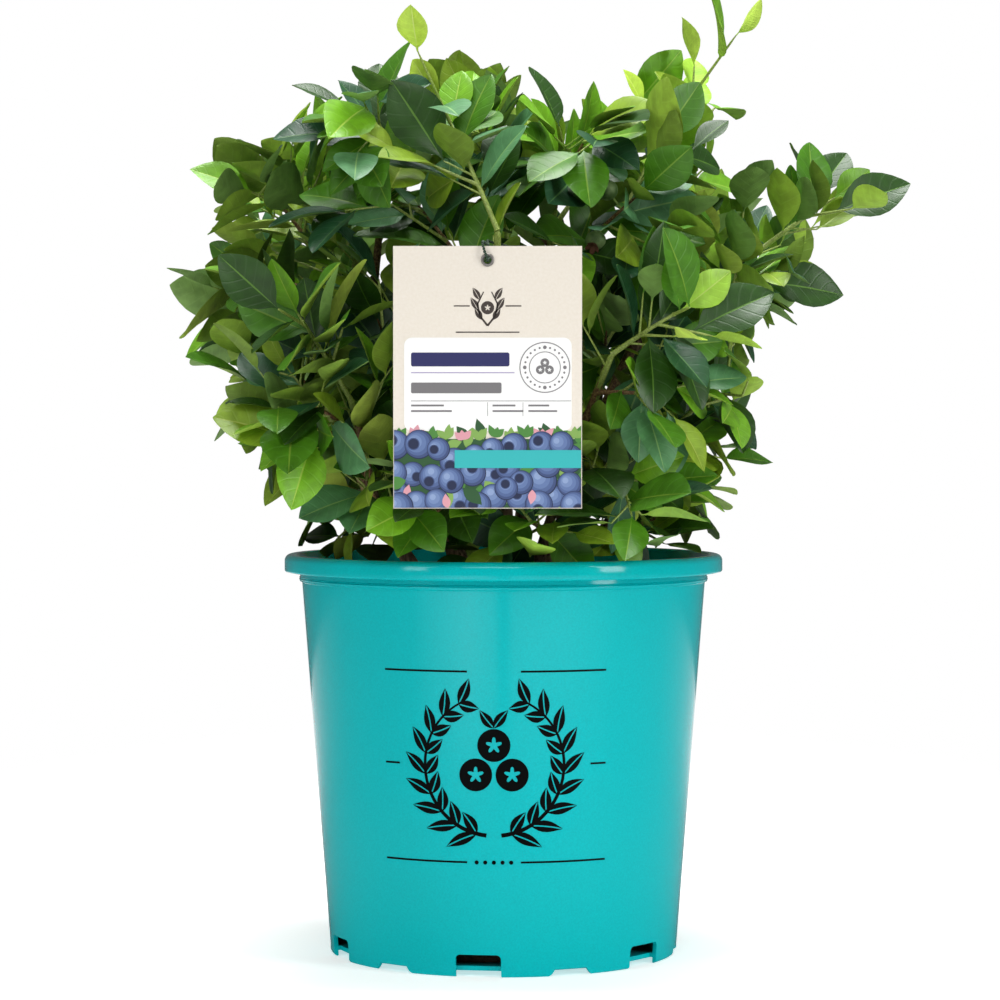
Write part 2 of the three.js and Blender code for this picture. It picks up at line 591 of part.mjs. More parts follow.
// Nothing grows into the pot's wall or the mix, or in front of the tag.
function inTheOpen(points) {
  return points.every(({ x, y, z }) => {
    const out = Math.hypot(x, y);
    if (z < POT_HEIGHT + 2 && out > NECK_RADIUS - 6) return false;
    if (z < MIX_TOP + 2) return false;
    const across = Math.abs(x - TAG_CENTRE.x) < TAG_WIDTH / 2 + 3;
    const up = Math.abs(z - TAG_CENTRE.z) < TAG_HEIGHT / 2 + 3;
    return !(across && up && y < TAG_CENTRE.y + 3);
  });
}

function clearOfAll(place, gap, but) {
  return standing.every((other) => but.includes(other.owner) || !meet(place, other, gap));
}

// ---- twigs

function sideTwig(leader, share, turn, length) {
  const start = pointOn(leader.curve, share);
  const way = leaving(leader.curve.getTangent(share), radians(SIDE_ANGLE), turn);
  way.addScaledVector(UP, SIDE_LIFT).normalize();
  const end = start.clone().addScaledVector(way, length);
  const twig = limb(start, start.clone().lerp(end, 0.5), end, SIDE_RADIUS, SIDE_RADIUS);
  return Object.assign(twig, { bare: SIDE_BARE, length });
}

function massTwigs(name, seed) {
  const { on, at, tip, twigs } = MASSES[name];
  const shape = { foot: TWIG_RADIUS, end: TWIG_TIP, sides: TWIG_SIDES };
  const leader = branch(limbs[on], at, vector(tip), LEADER_ARCH, shape);
  leader.bare = LEADER_BARE;
  leader.name = `${name}/0`;
  leader.length = leader.curve.getLength();
  standing.push(spaceAlong(leader, 0, 0.2, 2, `${leader.name}/foot`));
  standing.push(spaceAlong(leader, 0.2, 1, 5, leader.name));
  const grown = [leader];
  for (let i = 0; i < twigs; i += 1) {
    const place = (i + 0.3 * chance(seed, 10 + i)) / Math.max(1, twigs - 1);
    const share = SIDE_FROM + SIDE_SPREAD * place;
    const most = Math.min(SIDE_TWIG * mix(1.15, 0.8, i / twigs), SIDE_MOST * leader.length);
    const length = most * mix(0.8, 1.1, chance(seed, 30 + i));
    for (let attempt = 0; attempt < TRIES; attempt += 1) {
      const turn = radians(GOLDEN_ANGLE) * (i + attempt) + 2 * Math.PI * chance(seed, 20 + i);
      const twig = sideTwig(leader, share, turn, length);
      twig.name = `${name}/${i + 1}`;
      const room = spaceAlong(twig, 0.1, 1, 3, twig.name);
      if (!inTheOpen(room.points) || !clearOfAll(room, TWIG_ROOM, [leader.name])) continue;
      standing.push(room);
      grown.push(twig);
      break;
    }
  }
  return grown;
}

// ---- leaves

const OUTLINE_SIDES = 6;

// The outline, from the tip round, and the foot of the midrib, of a leaf at its place.
function leafPlace({ root, way, face, length, droop }) {
  const across = new THREE.Vector3().crossVectors(way, face);
  const at = (share, side) => {
    const spot = root.clone().addScaledVector(way, share * length);
    spot.addScaledVector(across, side * length * LEAF_WIDTH * 0.5);
    const rise = Math.abs(side) * LEAF_WIDTH * 0.5 * LEAF_FOLD - droop * share * share;
    return spot.addScaledVector(face, rise * length);
  };
  const points = [];
  for (let i = 0; i < OUTLINE_SIDES; i += 1) {
    const angle = (2 * Math.PI * i) / OUTLINE_SIDES;
    points.push(at((1 + Math.cos(angle)) / 2, Math.sin(angle)));
  }
  points.push(at(LEAF_FOOT, 0));
  const edges = [];
  const faces = [];
  for (let i = 0; i < OUTLINE_SIDES; i += 1) {
    const next = (i + 1) % OUTLINE_SIDES;
    edges.push([i, next], [i, OUTLINE_SIDES]);
    faces.push([i, next, OUTLINE_SIDES]);
  }
  return { points, edges, faces };
}

function leafCount(twig) {
  const fitting = Math.round((twig.length * (1 - twig.bare)) / LEAF_GAP);
  return Math.min(MOST_LEAVES, Math.max(FEWEST_LEAVES, fitting));
}

// One leaf of a twig, counted from its tip. Each attempt turns it further round the twig.
function twigLeaf(mass, twig, order, seed, i, attempt) {
  const { leaf, young } = MASSES[mass];
  const draw = (number) => chance(seed, 100 * order + 50 + i + 1000 * number);
  const up = 1 - i / leafCount(twig);
  const share = mix(twig.bare, 1, up);
  const root = pointOn(twig.curve, share);
  const along = twig.curve.getTangent(share);
  const phase = 2 * Math.PI * chance(seed, 100 * order + 40) + radians(GOLDEN_ANGLE) * i;
  const turn = phase + 0.5 * (draw(0) - 0.5) + TRY_TURN * attempt;
  const open = LOW_ANGLE - ANGLE_CLOSES * up + ANGLE_VARIES * (draw(1) - 0.5);
  const angle = radians(i === 0 ? TIP_ANGLE : open);
  const way = leaving(along, angle, turn).addScaledVector(UP, LEAF_LIFT).normalize();
  const outward = new THREE.Vector3(root.x, root.y, 0).normalize();
  const face = along.multiplyScalar(0.35).addScaledVector(UP, 0.5).addScaledVector(outward, 0.7);
  face.addScaledVector(way, -face.dot(way)).normalize();
  face.applyAxisAngle(way, radians(LEAF_ROLL) * (draw(2) - 0.5));
  const youth = young * Math.max(0, (up - 0.5) / 0.5);
  const swell = 0.72 + 0.28 * Math.sin(Math.PI * Math.min(1, 1.1 * up + 0.15));
  const shrunk = (1 - YOUNG_SHRINKS * youth) * (1 - TRY_SHRINKS * attempt);
  const length = leaf * swell * mix(...LEAF_VARIES, draw(3)) * shrunk;
  return { root, way, face, length, droop: mix(...LEAF_DROOP, draw(4)) };
}

// The borders of the masses: points along every leading twig.
function axisPoints(twigs) {
  return BORDER_SHARES.map((share) => pointOn(twigs[0].curve, share));
}

function inOwnSpace(middle, mass, axes) {
  let own = Infinity;
  let others = Infinity;
  for (const [name, points] of Object.entries(axes)) {
    for (const point of points) {
      const apart = point.distanceTo(middle);
      if (name === mass) own = Math.min(own, apart);
      else others = Math.min(others, apart);
    }
  }
  return own < others + SAME_SPACE;
}

// Whether a leaf has room where it grows; a leaf that has is noted as standing there.
function leafStands(leaf, mass, twigName, axes) {
  const { points, edges, faces } = leafPlace(leaf);
  const place = space(points, edges, faces, 0, `leaf of ${mass}`);
  if (!inTheOpen(points) || !inOwnSpace(place.ball.center, mass, axes)) return false;
  if (!clearOfAll(place, LEAF_ROOM, [twigName, place.owner])) return false;
  const sisters = standing.filter((other) => other.owner === place.owner);
  if (sisters.some((other) => meet(place, other, SISTER_ROOM))) return false;
  standing.push(place);
  return true;
}

function growAll() {
  const masses = Object.keys(MASSES).map((name, i) => ({ name, seed: i + 1 }));
  for (const mass of masses) mass.twigs = massTwigs(mass.name, mass.seed);
  const axes = Object.fromEntries(masses.map(({ name, twigs }) => [name, axisPoints(twigs)]));
  for (const mass of masses) {
    mass.leaves = [];
    for (const [order, twig] of mass.twigs.entries()) {
      for (let i = 0; i <= leafCount(twig); i += 1) {
        for (let attempt = 0; attempt < TRIES; attempt += 1) {
          const leaf = twigLeaf(mass.name, twig, order, mass.seed, i, attempt);
          if (!leafStands(leaf, mass.name, twig.name, axes)) continue;
          mass.leaves.push(leaf);
          break;
        }
      }
    }
  }
  return masses;
}

// ---------------------------------------------------------------- limbs and foliage as solids

// A leaf is a lens: a sphere of six sides and two rings, laid on the leaf's outline.
function leafSolid(leaf) {
  const { points } = leafPlace(leaf);
  const lens = new THREE.SphereGeometry(1, OUTLINE_SIDES, 2);
  const place = lens.attributes.position;
  const foot = points[OUTLINE_SIDES];
  for (let i = 0; i < place.count; i += 1) {
    const [x, y, z] = [place.getX(i), place.getY(i), place.getZ(i)];
    const turn = Math.round((Math.atan2(z, x) / (2 * Math.PI)) * OUTLINE_SIDES) + OUTLINE_SIDES;
    const spot = Math.abs(y) > 0.5 ? foot.clone() : points[turn % OUTLINE_SIDES];
    if (Math.abs(y) > 0.5) spot.addScaledVector(leaf.face, (Math.sign(y) * LEAF_THICKNESS) / 2);
    place.setXYZ(i, spot.x, spot.y, spot.z);
  }
  return solid(lens);
}

// A berry hangs by its own stalk from the leading twig.
function berrySolids(twig, share) {
  const root = pointOn(twig.curve, share);
  const way = leaving(twig.curve.getTangent(share), radians(BERRY_ANGLE), share * 9);
  const middle = root.clone().addScaledVector(way, BERRY_STALK + BERRY_RADIUS);
  const stalk = limb(root, root.clone().lerp(middle, 0.5), middle, 0.8, 0.8);
  const berry = new THREE.SphereGeometry(BERRY_RADIUS, 8, 5).translate(middle.x, middle.y, middle.z);
  return [solid(bent(stalk, TWIG_SIDES, 1)), solid(berry)];
}

function massSolid({ name, twigs, leaves }) {
  const pieces = twigs.map((twig, i) => solid(bent(twig, TWIG_SIDES, i ? 1 : 3)));
  pieces.push(...leaves.map(leafSolid));
  for (const share of BERRIES[name] ?? []) pieces.push(...berrySolids(twigs[0], share));
  return geometryOf(largest(wasm.Manifold.union(pieces)));
}

// ---------------------------------------------------------------- the whole

add('pot', pot(), POT_PLASTIC);
add('potting_mix', pottingMix(), MIX_SOIL);
add('tag_card', tagCard(), CARD);
add('tag_eyelet', tagEyelet(), EYELET_METAL);
add('tag_tie', tagTie(), TIE_CORD);
for (const name of Object.keys(CANES)) add(name, limbs[name].solid, BARK);
for (const name of Object.keys(BOUGHS)) add(name, limbs[name].solid, GREEN_BARK);
for (const mass of growAll()) {
  add(`leaves_${mass.name}`, massSolid(mass), MASSES[mass.name].young > 0.5 ? YOUNG_LEAF : LEAF);
}

export default bush;
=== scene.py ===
# %% [markdown]
# # A blueberry bush in a nursery pot
#
# A young highbush blueberry as a garden centre sells it: a glossy moulded pot, bark compost, ten
# stems, over a thousand leaves and a hang tag on a cord. The bush already exists as plain
# solids, made for its size, weight and collisions. This lesson dresses them. It loads the solids
# as a fixed frame, then puts a finer piece in the place of each, in the same millimetres.

# %% The frame, and the box that it fills
import math

import bpy
import numpy as np
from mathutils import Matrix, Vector


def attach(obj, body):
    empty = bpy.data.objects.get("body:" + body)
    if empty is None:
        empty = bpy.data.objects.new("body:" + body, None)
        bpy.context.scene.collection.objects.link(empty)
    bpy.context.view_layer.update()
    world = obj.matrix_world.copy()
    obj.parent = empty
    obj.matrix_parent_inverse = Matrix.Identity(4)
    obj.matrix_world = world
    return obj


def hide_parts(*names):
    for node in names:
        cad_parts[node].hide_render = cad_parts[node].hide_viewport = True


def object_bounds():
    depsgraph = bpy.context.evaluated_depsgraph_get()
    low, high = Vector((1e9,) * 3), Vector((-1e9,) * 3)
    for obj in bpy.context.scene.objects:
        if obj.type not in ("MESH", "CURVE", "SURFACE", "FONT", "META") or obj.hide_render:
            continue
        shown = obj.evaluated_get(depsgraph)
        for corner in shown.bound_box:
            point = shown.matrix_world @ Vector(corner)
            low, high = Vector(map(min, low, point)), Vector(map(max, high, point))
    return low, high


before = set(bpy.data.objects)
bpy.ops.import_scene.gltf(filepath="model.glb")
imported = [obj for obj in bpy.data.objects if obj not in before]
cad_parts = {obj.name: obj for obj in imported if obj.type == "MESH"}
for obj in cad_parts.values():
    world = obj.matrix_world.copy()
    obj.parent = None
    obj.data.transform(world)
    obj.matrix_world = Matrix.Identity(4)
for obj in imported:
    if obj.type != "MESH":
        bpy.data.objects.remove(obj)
cad_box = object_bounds()

# %% [markdown]
# ## A few helpers
#
# The sizes are in millimetres and Blender works in metres, so every mesh passes through one
# function that divides by a thousand. It also gives each face its material, shades it smooth and
# keeps the edges that are sharper than a given angle. Colours are written as the hex values that
# a colour picker shows, and one function turns them into the linear light that shaders need.
# Most finishes here are cloudy: one noise shifts the colour a little, and the same noise, or a
# second one, raises a fine relief. A function makes that from the size of the real grain.

# %% Meshes, colours and nodes
MM = 0.001


def piece(name, points, faces, materials, which=None, sharp=40, slot=None, replaces=()):
    """A mesh object from points in millimetres. which gives each face its material's number."""
    mesh = bpy.data.meshes.new(name)
    mesh.from_pydata((np.asarray(points, float) * MM).tolist(), [], [list(map(int, f)) for f in faces])
    for material in materials:
        mesh.materials.append(material)
    if which is not None:
        mesh.polygons.foreach_set("material_index", np.asarray(which, np.int32))
    mesh.shade_smooth()
    mesh.set_sharp_from_angle(angle=math.radians(sharp))
    mesh.validate()
    made = bpy.data.objects.new(name, mesh)
    bpy.context.scene.collection.objects.link(made)
    if slot:
        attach(made, "root")
    if replaces:
        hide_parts(*replaces)
    return made


def linear(hex_colour):
    """An sRGB hex colour as linear red, green, blue and alpha."""
    parts = [int(hex_colour[i : i + 2], 16) / 255 for i in (1, 3, 5)]
    light = [c / 12.92 if c <= 0.04045 else ((c + 0.055) / 1.055) ** 2.4 for c in parts]
    return (*light, 1.0)


def mix(a, b, share):
    return a + (b - a) * share


def add_node(tree, kind, settings=None, **inputs):
    """Adds a node. settings are its own fields; an input is a value or another node's output."""
    made = tree.nodes.new(kind)
    for field, value in (settings or {}).items():
        setattr(made, field, value)
    for title, value in inputs.items():
        socket = made.inputs[int(title[1:]) if title[1:].isdigit() else title.replace("_", " ")]
        if isinstance(value, bpy.types.NodeSocket):
            tree.links.new(value, socket)
        else:
            socket.default_value = value
    return made


def new_material(name, colour, **shader_inputs):
    """A Principled material with plain values on its own sockets; returns it, its tree and shader."""
    material = bpy.data.materials.new(name)
    material.use_nodes = True
    tree = material.node_tree
    tree.nodes.clear()
    shader = add_node(tree, "ShaderNodeBsdfPrincipled", Base_Color=linear(colour), **shader_inputs)
    add_node(tree, "ShaderNodeOutputMaterial", Surface=shader.outputs["BSDF"])
    material.diffuse_color = linear(colour)
    return material, tree, shader


def cloudy(made, grain, detail, tones=None, stops=(0.3, 0.7), relief=None, **noise):
    """Noise with a grain in millimetres: two tones at its stops, relief as (strength, depth)."""
    material, tree, shader = made
    if "Vector" not in noise:
        noise["Vector"] = add_node(tree, "ShaderNodeTexCoord").outputs["Object"]
    cloud = add_node(tree, "ShaderNodeTexNoise", Scale=1 / (grain * MM), Detail=detail, **noise)
    if tones:
        ramp = add_node(tree, "ShaderNodeValToRGB", Fac=cloud.outputs["Fac"])
        for stop, position, tone in zip(ramp.color_ramp.elements, stops, tones):
            stop.position, stop.color = position, linear(tone)
        tree.links.new(ramp.outputs["Color"], shader.inputs["Base Color"])
    if relief:
        strength, depth = relief
        raised = {"Distance": depth * MM, "Height": cloud.outputs["Fac"]}
        bump = add_node(tree, "ShaderNodeBump", Strength=strength, **raised)
        tree.links.new(bump.outputs["Normal"], shader.inputs["Normal"])
    return material


def grid_faces(rows, columns, start=0, closed=False):
    """Quads between rows of points; closed joins each row's last point to its first."""
    faces = []
    for i in range(rows - 1):
        for k in range(columns if closed else columns - 1):
            a, b = start + i * columns + k, start + i * columns + (k + 1) % columns
            faces.append((a, b, b + columns, a + columns))
    return faces


def joined(parts):
    """Several parts as one: each is its points, its faces and the material of each face."""
    points, faces, which = [], [], []
    for new_points, new_faces, new_which in parts:
        faces += [tuple(len(points) + i for i in face) for face in new_faces]
        points += list(new_points)
        which += list(new_which)
    return points, faces, which


print("one millimetre is", MM, "of a metre")

# %% [markdown]
# ## Camera
#
# A catalogue picture is taken from well back with a long lens, so that the pot's sides stay
# upright. This camera stands 1.78 m in front of the stems, a little above the rim, and looks down
# by just over a degree. A long lens is a narrow angle: the whole bush fits in 17.5 degrees.

# %% The camera
CAMERA_BACK, CAMERA_HEIGHT = 1780, 289
PICTURE, LEVEL_ROW, AXIS_COLUMN = 1000, 424.1, 503.5  # in pixels; the pot's axis is in that column
SENSOR, FOCAL = 36, 116.68
PITCH = math.degrees(math.atan((PICTURE / 2 - LEVEL_ROW) / (PICTURE * FOCAL / SENSOR)))
camera_data = bpy.data.cameras.new("camera")
camera_data.sensor_width = SENSOR
camera_data.sensor_height = SENSOR
camera_data.sensor_fit = "HORIZONTAL"
camera_data.lens = FOCAL
camera_data.shift_x = (PICTURE / 2 - AXIS_COLUMN) / PICTURE
camera_data.clip_start = 0.05
camera = bpy.data.objects.new("camera", camera_data)
camera.location = (0, -CAMERA_BACK * MM, CAMERA_HEIGHT * MM)
camera.rotation_euler = (math.radians(90 - PITCH), 0, 0)
bpy.context.scene.collection.objects.link(camera)
bpy.context.scene.camera = camera
print(f"the camera looks down by {PITCH:.2f} degrees")

# %% [markdown]
# ## Floor and light
#
# The bush stands on a white acrylic table that is lit a little from beneath. Towards its edge the
# table fades out into the white of the studio, so there is no line behind the pot from any side.
# The pot's wall leans out, so all that it mirrors is the table round it. A white table would
# bleach the foot of the pot. So to mirrored rays alone the table is grey, and further out a
# painted reflection glows in it: two lit panels with a dark gap between them where a camera
# stands, though no such panels are in the studio. The glossy wall shows this painted reflection
# as two upright bands, between darker flanks and pale edges. Two tall softboxes stand at the front
# corners, and a wide one hangs above. The studio looks white to the camera alone and is dim
# otherwise, so that the crown keeps its shadows.

# %% Table, softboxes and studio
TABLE_RADIUS, TABLE_SIDES, TABLE_NARROWS = 1500, 96, 2.4
FADE_FROM, FADE_TO, GLOW_FROM, GLOW_TO = 700, 1400, 300, 1000
# the table's glow to the camera and to diffuse light, then the strength of its painted reflection
GLOW_SEEN, PAINTED_REFLECTION_GLOW = 0.5, 1.6  # how much the table glows, in itself and in a mirror
# the painted reflection of two panels: how bright the table is to mirrored rays in each
# direction, in degrees to the right of the front
PAINTED_PANELS = {-180: 0.6, -100: 0.1, -50: 0.05, -19: 1, -5: 0.5, -2: 0}
PAINTED_PANELS |= {2: 0, 5: 0.45, 17: 0.55, 35: 0.5, 62: 0.1, 100: 0.1, 180: 0.6}
white_light = {"Roughness": 0.9, "Emission_Color": (1, 1, 1, 1)}
table_top, tree, as_seen = new_material(
    "backlit_acrylic_painted_reflection", "#F4F4F2", Emission_Strength=GLOW_SEEN, **white_light
)
place = add_node(tree, "ShaderNodeTexCoord").outputs["Object"]
times = {"operation": "MULTIPLY"}
narrowed = add_node(tree, "ShaderNodeVectorMath", times, _0=place, _1=(TABLE_NARROWS, 1, 1))


def over_table(spot, start, end, most):
    """A value that rises smoothly from 0 to most as a spot's distance goes from start to end."""
    away = add_node(tree, "ShaderNodeVectorMath", {"operation": "LENGTH"}, _0=spot)
    limits = {"From_Min": start * MM, "From_Max": end * MM, "To_Max": most}
    smooth = {"interpolation_type": "SMOOTHSTEP"}
    rise = add_node(tree, "ShaderNodeMapRange", smooth, Value=away.outputs["Value"], **limits)
    return rise.outputs[0]


along = add_node(tree, "ShaderNodeSeparateXYZ", Vector=place)
front = add_node(tree, "ShaderNodeMath", times, _0=along.outputs["Y"], _1=-1)
ways = {"_0": along.outputs["X"], "_1": front.outputs[0]}
turn = add_node(tree, "ShaderNodeMath", {"operation": "ARCTAN2"}, **ways)
whole = {"From_Min": -math.pi, "From_Max": math.pi}
share = add_node(tree, "ShaderNodeMapRange", Value=turn.outputs[0], **whole)
painted_bands = add_node(tree, "ShaderNodeValToRGB", Fac=share.outputs[0])
for degrees, light in PAINTED_PANELS.items():
    if abs(degrees) < 180:
        stop = painted_bands.color_ramp.elements.new(degrees / 360 + 0.5)
    else:
        stop = painted_bands.color_ramp.elements[0 if degrees < 0 else -1]
    stop.color = (light, light, light, 1)
# the painted reflection: to mirrored rays the table is grey and glows in bands further out
rise = over_table(place, GLOW_FROM, GLOW_TO, PAINTED_REFLECTION_GLOW)
lit = add_node(tree, "ShaderNodeMath", times, _0=rise, _1=painted_bands.outputs["Color"])
dull = {"Base_Color": linear("#808080"), "Emission_Strength": lit.outputs[0], **white_light}
mirrored = add_node(tree, "ShaderNodeBsdfPrincipled", **dull)
fade = over_table(narrowed.outputs[0], FADE_FROM, FADE_TO, 1.0)
clear = add_node(tree, "ShaderNodeBsdfTransparent")
faded = add_node(tree, "ShaderNodeMixShader", _0=fade, _1=as_seen.outputs[0], _2=clear.outputs[0])
glossy = add_node(tree, "ShaderNodeLightPath").outputs["Is Glossy Ray"]
kinds = {"_1": faded.outputs[0], "_2": mirrored.outputs[0]}
blend = add_node(tree, "ShaderNodeMixShader", _0=glossy, **kinds)
tree.links.new(blend.outputs[0], tree.nodes["Material Output"].inputs["Surface"])
turns = 2 * np.pi * np.arange(TABLE_SIDES) / TABLE_SIDES
table_points = [(TABLE_RADIUS * math.cos(t), TABLE_RADIUS * math.sin(t), 0) for t in turns]
table = piece("white_table", table_points, [tuple(range(TABLE_SIDES))], [table_top])


def softbox(name, place, target, width, height, watts):
    """An area light at a place, in millimetres, turned to a target."""
    light = bpy.data.lights.new(name, "AREA")
    light.shape = "RECTANGLE"
    light.size, light.size_y = width * MM, height * MM
    light.energy = watts
    stand = bpy.data.objects.new(name, light)
    stand.location = Vector(place) * MM
    aim = Vector(target) * MM - stand.location
    stand.rotation_euler = aim.to_track_quat("-Z", "Y").to_euler()
    bpy.context.scene.collection.objects.link(stand)
    return stand


MIDDLE = (0, 0, 260)
softbox("left_softbox", (-1500, -1500, 900), MIDDLE, 500, 1500, 10)
softbox("right_softbox", (1650, -1100, 800), MIDDLE, 500, 1500, 20)
softbox("front_softbox", (-250, -2300, 1500), MIDDLE, 1200, 700, 12)
softbox("top_softbox", (0, 100, 1900), MIDDLE, 1100, 800, 42)
world = bpy.data.worlds.new("white_studio")
world.use_nodes = True
tree = world.node_tree
tree.nodes.clear()
dim = add_node(tree, "ShaderNodeBackground", Color=(1, 1, 1, 1), Strength=0.15)
white = add_node(tree, "ShaderNodeBackground", Color=(1, 1, 1, 1), Strength=1.0)
seen = add_node(tree, "ShaderNodeLightPath").outputs["Is Camera Ray"]
both = add_node(tree, "ShaderNodeMixShader", _0=seen, _1=dim.outputs[0], _2=white.outputs[0])
add_node(tree, "ShaderNodeOutputWorld", Surface=both.outputs[0])
bpy.context.scene.world = world
bpy.context.scene.view_settings.view_transform = "Standard"

# %% [markdown]
# ## The pot
#
# The pot is injection-moulded polypropylene, coloured right through. Its outside is polished by
# the mould, so it is glossy with a very faint waviness. The wall is a cone, with a rolled rim, a
# thin bead below the rim, and six drainage notches round the foot with a shallow arch between
# each two. A turned profile with many sides gives the cone, and a Boolean cuts the foot as the
# mould's cores do. Subdivision would soften edges that the real pot keeps crisp.

# %% Sizes of the pot
POT_HEIGHT, RIM_RADIUS, RIM_BAND, RIM_ROUND = 218, 120, 9.5, 3.5
NECK_RADIUS, FOOT_RADIUS, FOOT_ROUND, WALL = 111.6, 95.1, 4, 2.4
BEAD_DROP, BEAD_STANDS, FLOOR_RISE, HUB_RADIUS = 4.2, 1.5, 3, 62
NOTCHES, NOTCH_WIDTH, NOTCH_HEIGHT, NOTCH_CORNER, FIRST_NOTCH = 6, 24, 12, 2.5, -8
ARCH_WIDTH, ARCH_HEIGHT, ARCH_SLANT = 30, 4, 6
MIX_DEPTH = 24
POT_SIDES = 240
RIM_UNDERSIDE = POT_HEIGHT - RIM_BAND
SLOPE = (NECK_RADIUS - FOOT_RADIUS) / (POT_HEIGHT - FOOT_ROUND)


def wall_radius(height):
    return FOOT_RADIUS + SLOPE * (height - FOOT_ROUND)


def inside(height):
    return wall_radius(height) - WALL


def arc(middle, radius, start, end, steps):
    """Points on part of a circle, from one angle to another, in degrees."""
    turns = np.radians(np.linspace(start, end, steps + 1))
    return [(middle[0] + radius * math.cos(t), middle[1] + radius * math.sin(t)) for t in turns]


def turned(profile, sides, closed_ends=False):
    """Points and faces of a profile of (radius, height) pairs turned round the upright axis."""
    turns = 2 * math.pi * np.arange(sides) / sides
    points = [(r * math.cos(t), r * math.sin(t), z) for r, z in profile for t in turns]
    faces = grid_faces(len(profile), sides, closed=True)
    if closed_ends:
        last = (len(profile) - 1) * sides
        faces.append(tuple(range(sides))[::-1])
        faces.append(tuple(range(last, last + sides)))
    return points, faces


print(f"the wall leans out by {math.degrees(math.atan(SLOPE)):.1f} degrees")

# %% The plastic of the pot
# Polypropylene with a polished mould face: a low roughness gives clear, pale bands, which show the
# painted reflection that the table gives to mirrored rays. Its IOR is about the default, but a
# thin film of dust takes some of the gloss, so the specular level is low. It is speckled by its
# pigment, and waves about 4 mm long show that thin walls cool unevenly.
made = new_material("teal_polypropylene", "#00AEB3", Roughness=0.11, Specular_IOR_Level=0.3)
cloudy(made, 0.9, 2, ("#00A8AD", "#00B4B9"))
pot_plastic = cloudy(made, 4, 1, relief=(0.06, 0.3))
print("made", pot_plastic.name)

# %% The turned pot, with its foot cut
bead = RIM_UNDERSIDE - BEAD_DROP
lip = RIM_RADIUS - 2 * RIM_ROUND
pot_profile = [
    (0.01, 0),
    (HUB_RADIUS, 0),
    (HUB_RADIUS + FLOOR_RISE, FLOOR_RISE),
    (FOOT_RADIUS - WALL, FLOOR_RISE),
    (FOOT_RADIUS - WALL - 0.1, 0.3),
    (FOOT_RADIUS - WALL + 0.1, 0),
    *arc((FOOT_RADIUS - FOOT_ROUND + 2, FOOT_ROUND - 2), FOOT_ROUND - 2, -90, 0, 6),
    *[(wall_radius(z), z) for z in np.linspace(FOOT_ROUND, bead - 1.6, 24)],
    (wall_radius(bead) + 0.3, bead - 1.3),
    (wall_radius(bead) + BEAD_STANDS - 0.3, bead - 0.9),
    *arc((wall_radius(bead) + BEAD_STANDS - 0.5, bead + 0.2), 0.5, -60, 90, 5),
    (NECK_RADIUS + 0.4, bead + 1.1),
    (NECK_RADIUS, bead + 1.6),
    (NECK_RADIUS, RIM_UNDERSIDE - 0.6),
    (NECK_RADIUS + 0.6, RIM_UNDERSIDE),
    (RIM_RADIUS - 1.1, RIM_UNDERSIDE),
    *arc((RIM_RADIUS - 1, RIM_UNDERSIDE + 1), 1, -90, 0, 4),
    *arc((RIM_RADIUS - RIM_ROUND, POT_HEIGHT - RIM_ROUND), RIM_ROUND, 0, 90, 9),
    *arc((lip + 1.5, POT_HEIGHT - 1.5), 1.5, 90, 180, 4),
    (inside(RIM_UNDERSIDE) + 0.4, RIM_UNDERSIDE - 0.2),
    (inside(RIM_UNDERSIDE), RIM_UNDERSIDE - 1),
    *[(inside(z), z) for z in np.linspace(RIM_UNDERSIDE - 8, FLOOR_RISE + WALL, 8)],
    (HUB_RADIUS + 1.5, FLOOR_RISE + WALL),
    (HUB_RADIUS - 1.5, WALL),
    (0.01, WALL),
]


def foot_cutter(name, outline, start, depth, turn):
    """A block with an upright outline, from outside the wall inwards, turned round the pot."""
    points = [(x, y, z) for y in (-start, -start + depth) for x, z in outline]
    c, s = math.cos(turn), math.sin(turn)
    points = np.array(points) @ np.array([(c, s, 0), (-s, c, 0), (0, 0, 1)])
    count = len(outline)
    faces = [tuple(range(count)), tuple(range(2 * count - 1, count - 1, -1))]
    faces += [(i, i + count, (i + 1) % count + count, (i + 1) % count) for i in range(count)]
    return piece(name, points, faces, [pot_plastic])


half, corner = NOTCH_WIDTH / 2, NOTCH_CORNER
notch_outline = [(-half, -1), (half, -1)]
notch_outline += arc((half - corner, NOTCH_HEIGHT - corner), corner, 0, 90, 6)
notch_outline += arc((corner - half, NOTCH_HEIGHT - corner), corner, 90, 180, 6)
arch_half, ARCH_STEPS = ARCH_WIDTH / 2 + 1, 7
arch_outline = [(-arch_half, -1), (arch_half, -1)]
for share in (i / ARCH_STEPS for i in range(1, ARCH_STEPS + 1)):
    across = arch_half - (ARCH_SLANT + 1) * share**0.6
    arch_outline.append((across, (ARCH_HEIGHT + 1) * share**1.6 - 1))
arch_outline += [(-x, z) for x, z in arch_outline[:1:-1]]

points, faces = turned(pot_profile, POT_SIDES, True)
POT_SHARP = 32
pot = piece("nursery_pot", points, faces, [pot_plastic], sharp=POT_SHARP)
CUT_FROM, NOTCH_CUT, ARCH_CUT = FOOT_RADIUS + 3, 3 + WALL * 1.9, 4 + WALL
cutters = []
for i in range(NOTCHES):
    turn = math.radians(FIRST_NOTCH + 360 / NOTCHES * i)
    cutters.append(foot_cutter(f"notch_core_{i}", notch_outline, CUT_FROM, NOTCH_CUT, turn))
    turn += math.pi / NOTCHES
    cutters.append(foot_cutter(f"arch_core_{i}", arch_outline, CUT_FROM, ARCH_CUT, turn))
for cutter in cutters:
    cut = pot.modifiers.new("cut", "BOOLEAN")
    cut.operation, cut.solver, cut.object = "DIFFERENCE", "EXACT", cutter
bpy.context.view_layer.update()
finished = bpy.data.meshes.new_from_object(pot.evaluated_get(bpy.context.evaluated_depsgraph_get()))
pot.modifiers.clear()
pot.data = finished
finished.shade_smooth()
finished.set_sharp_from_angle(angle=math.radians(POT_SHARP))
for cutter in cutters:
    bpy.data.objects.remove(cutter)
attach(pot, "root")
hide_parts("pot")
print("the pot has", len(finished.polygons), "faces")

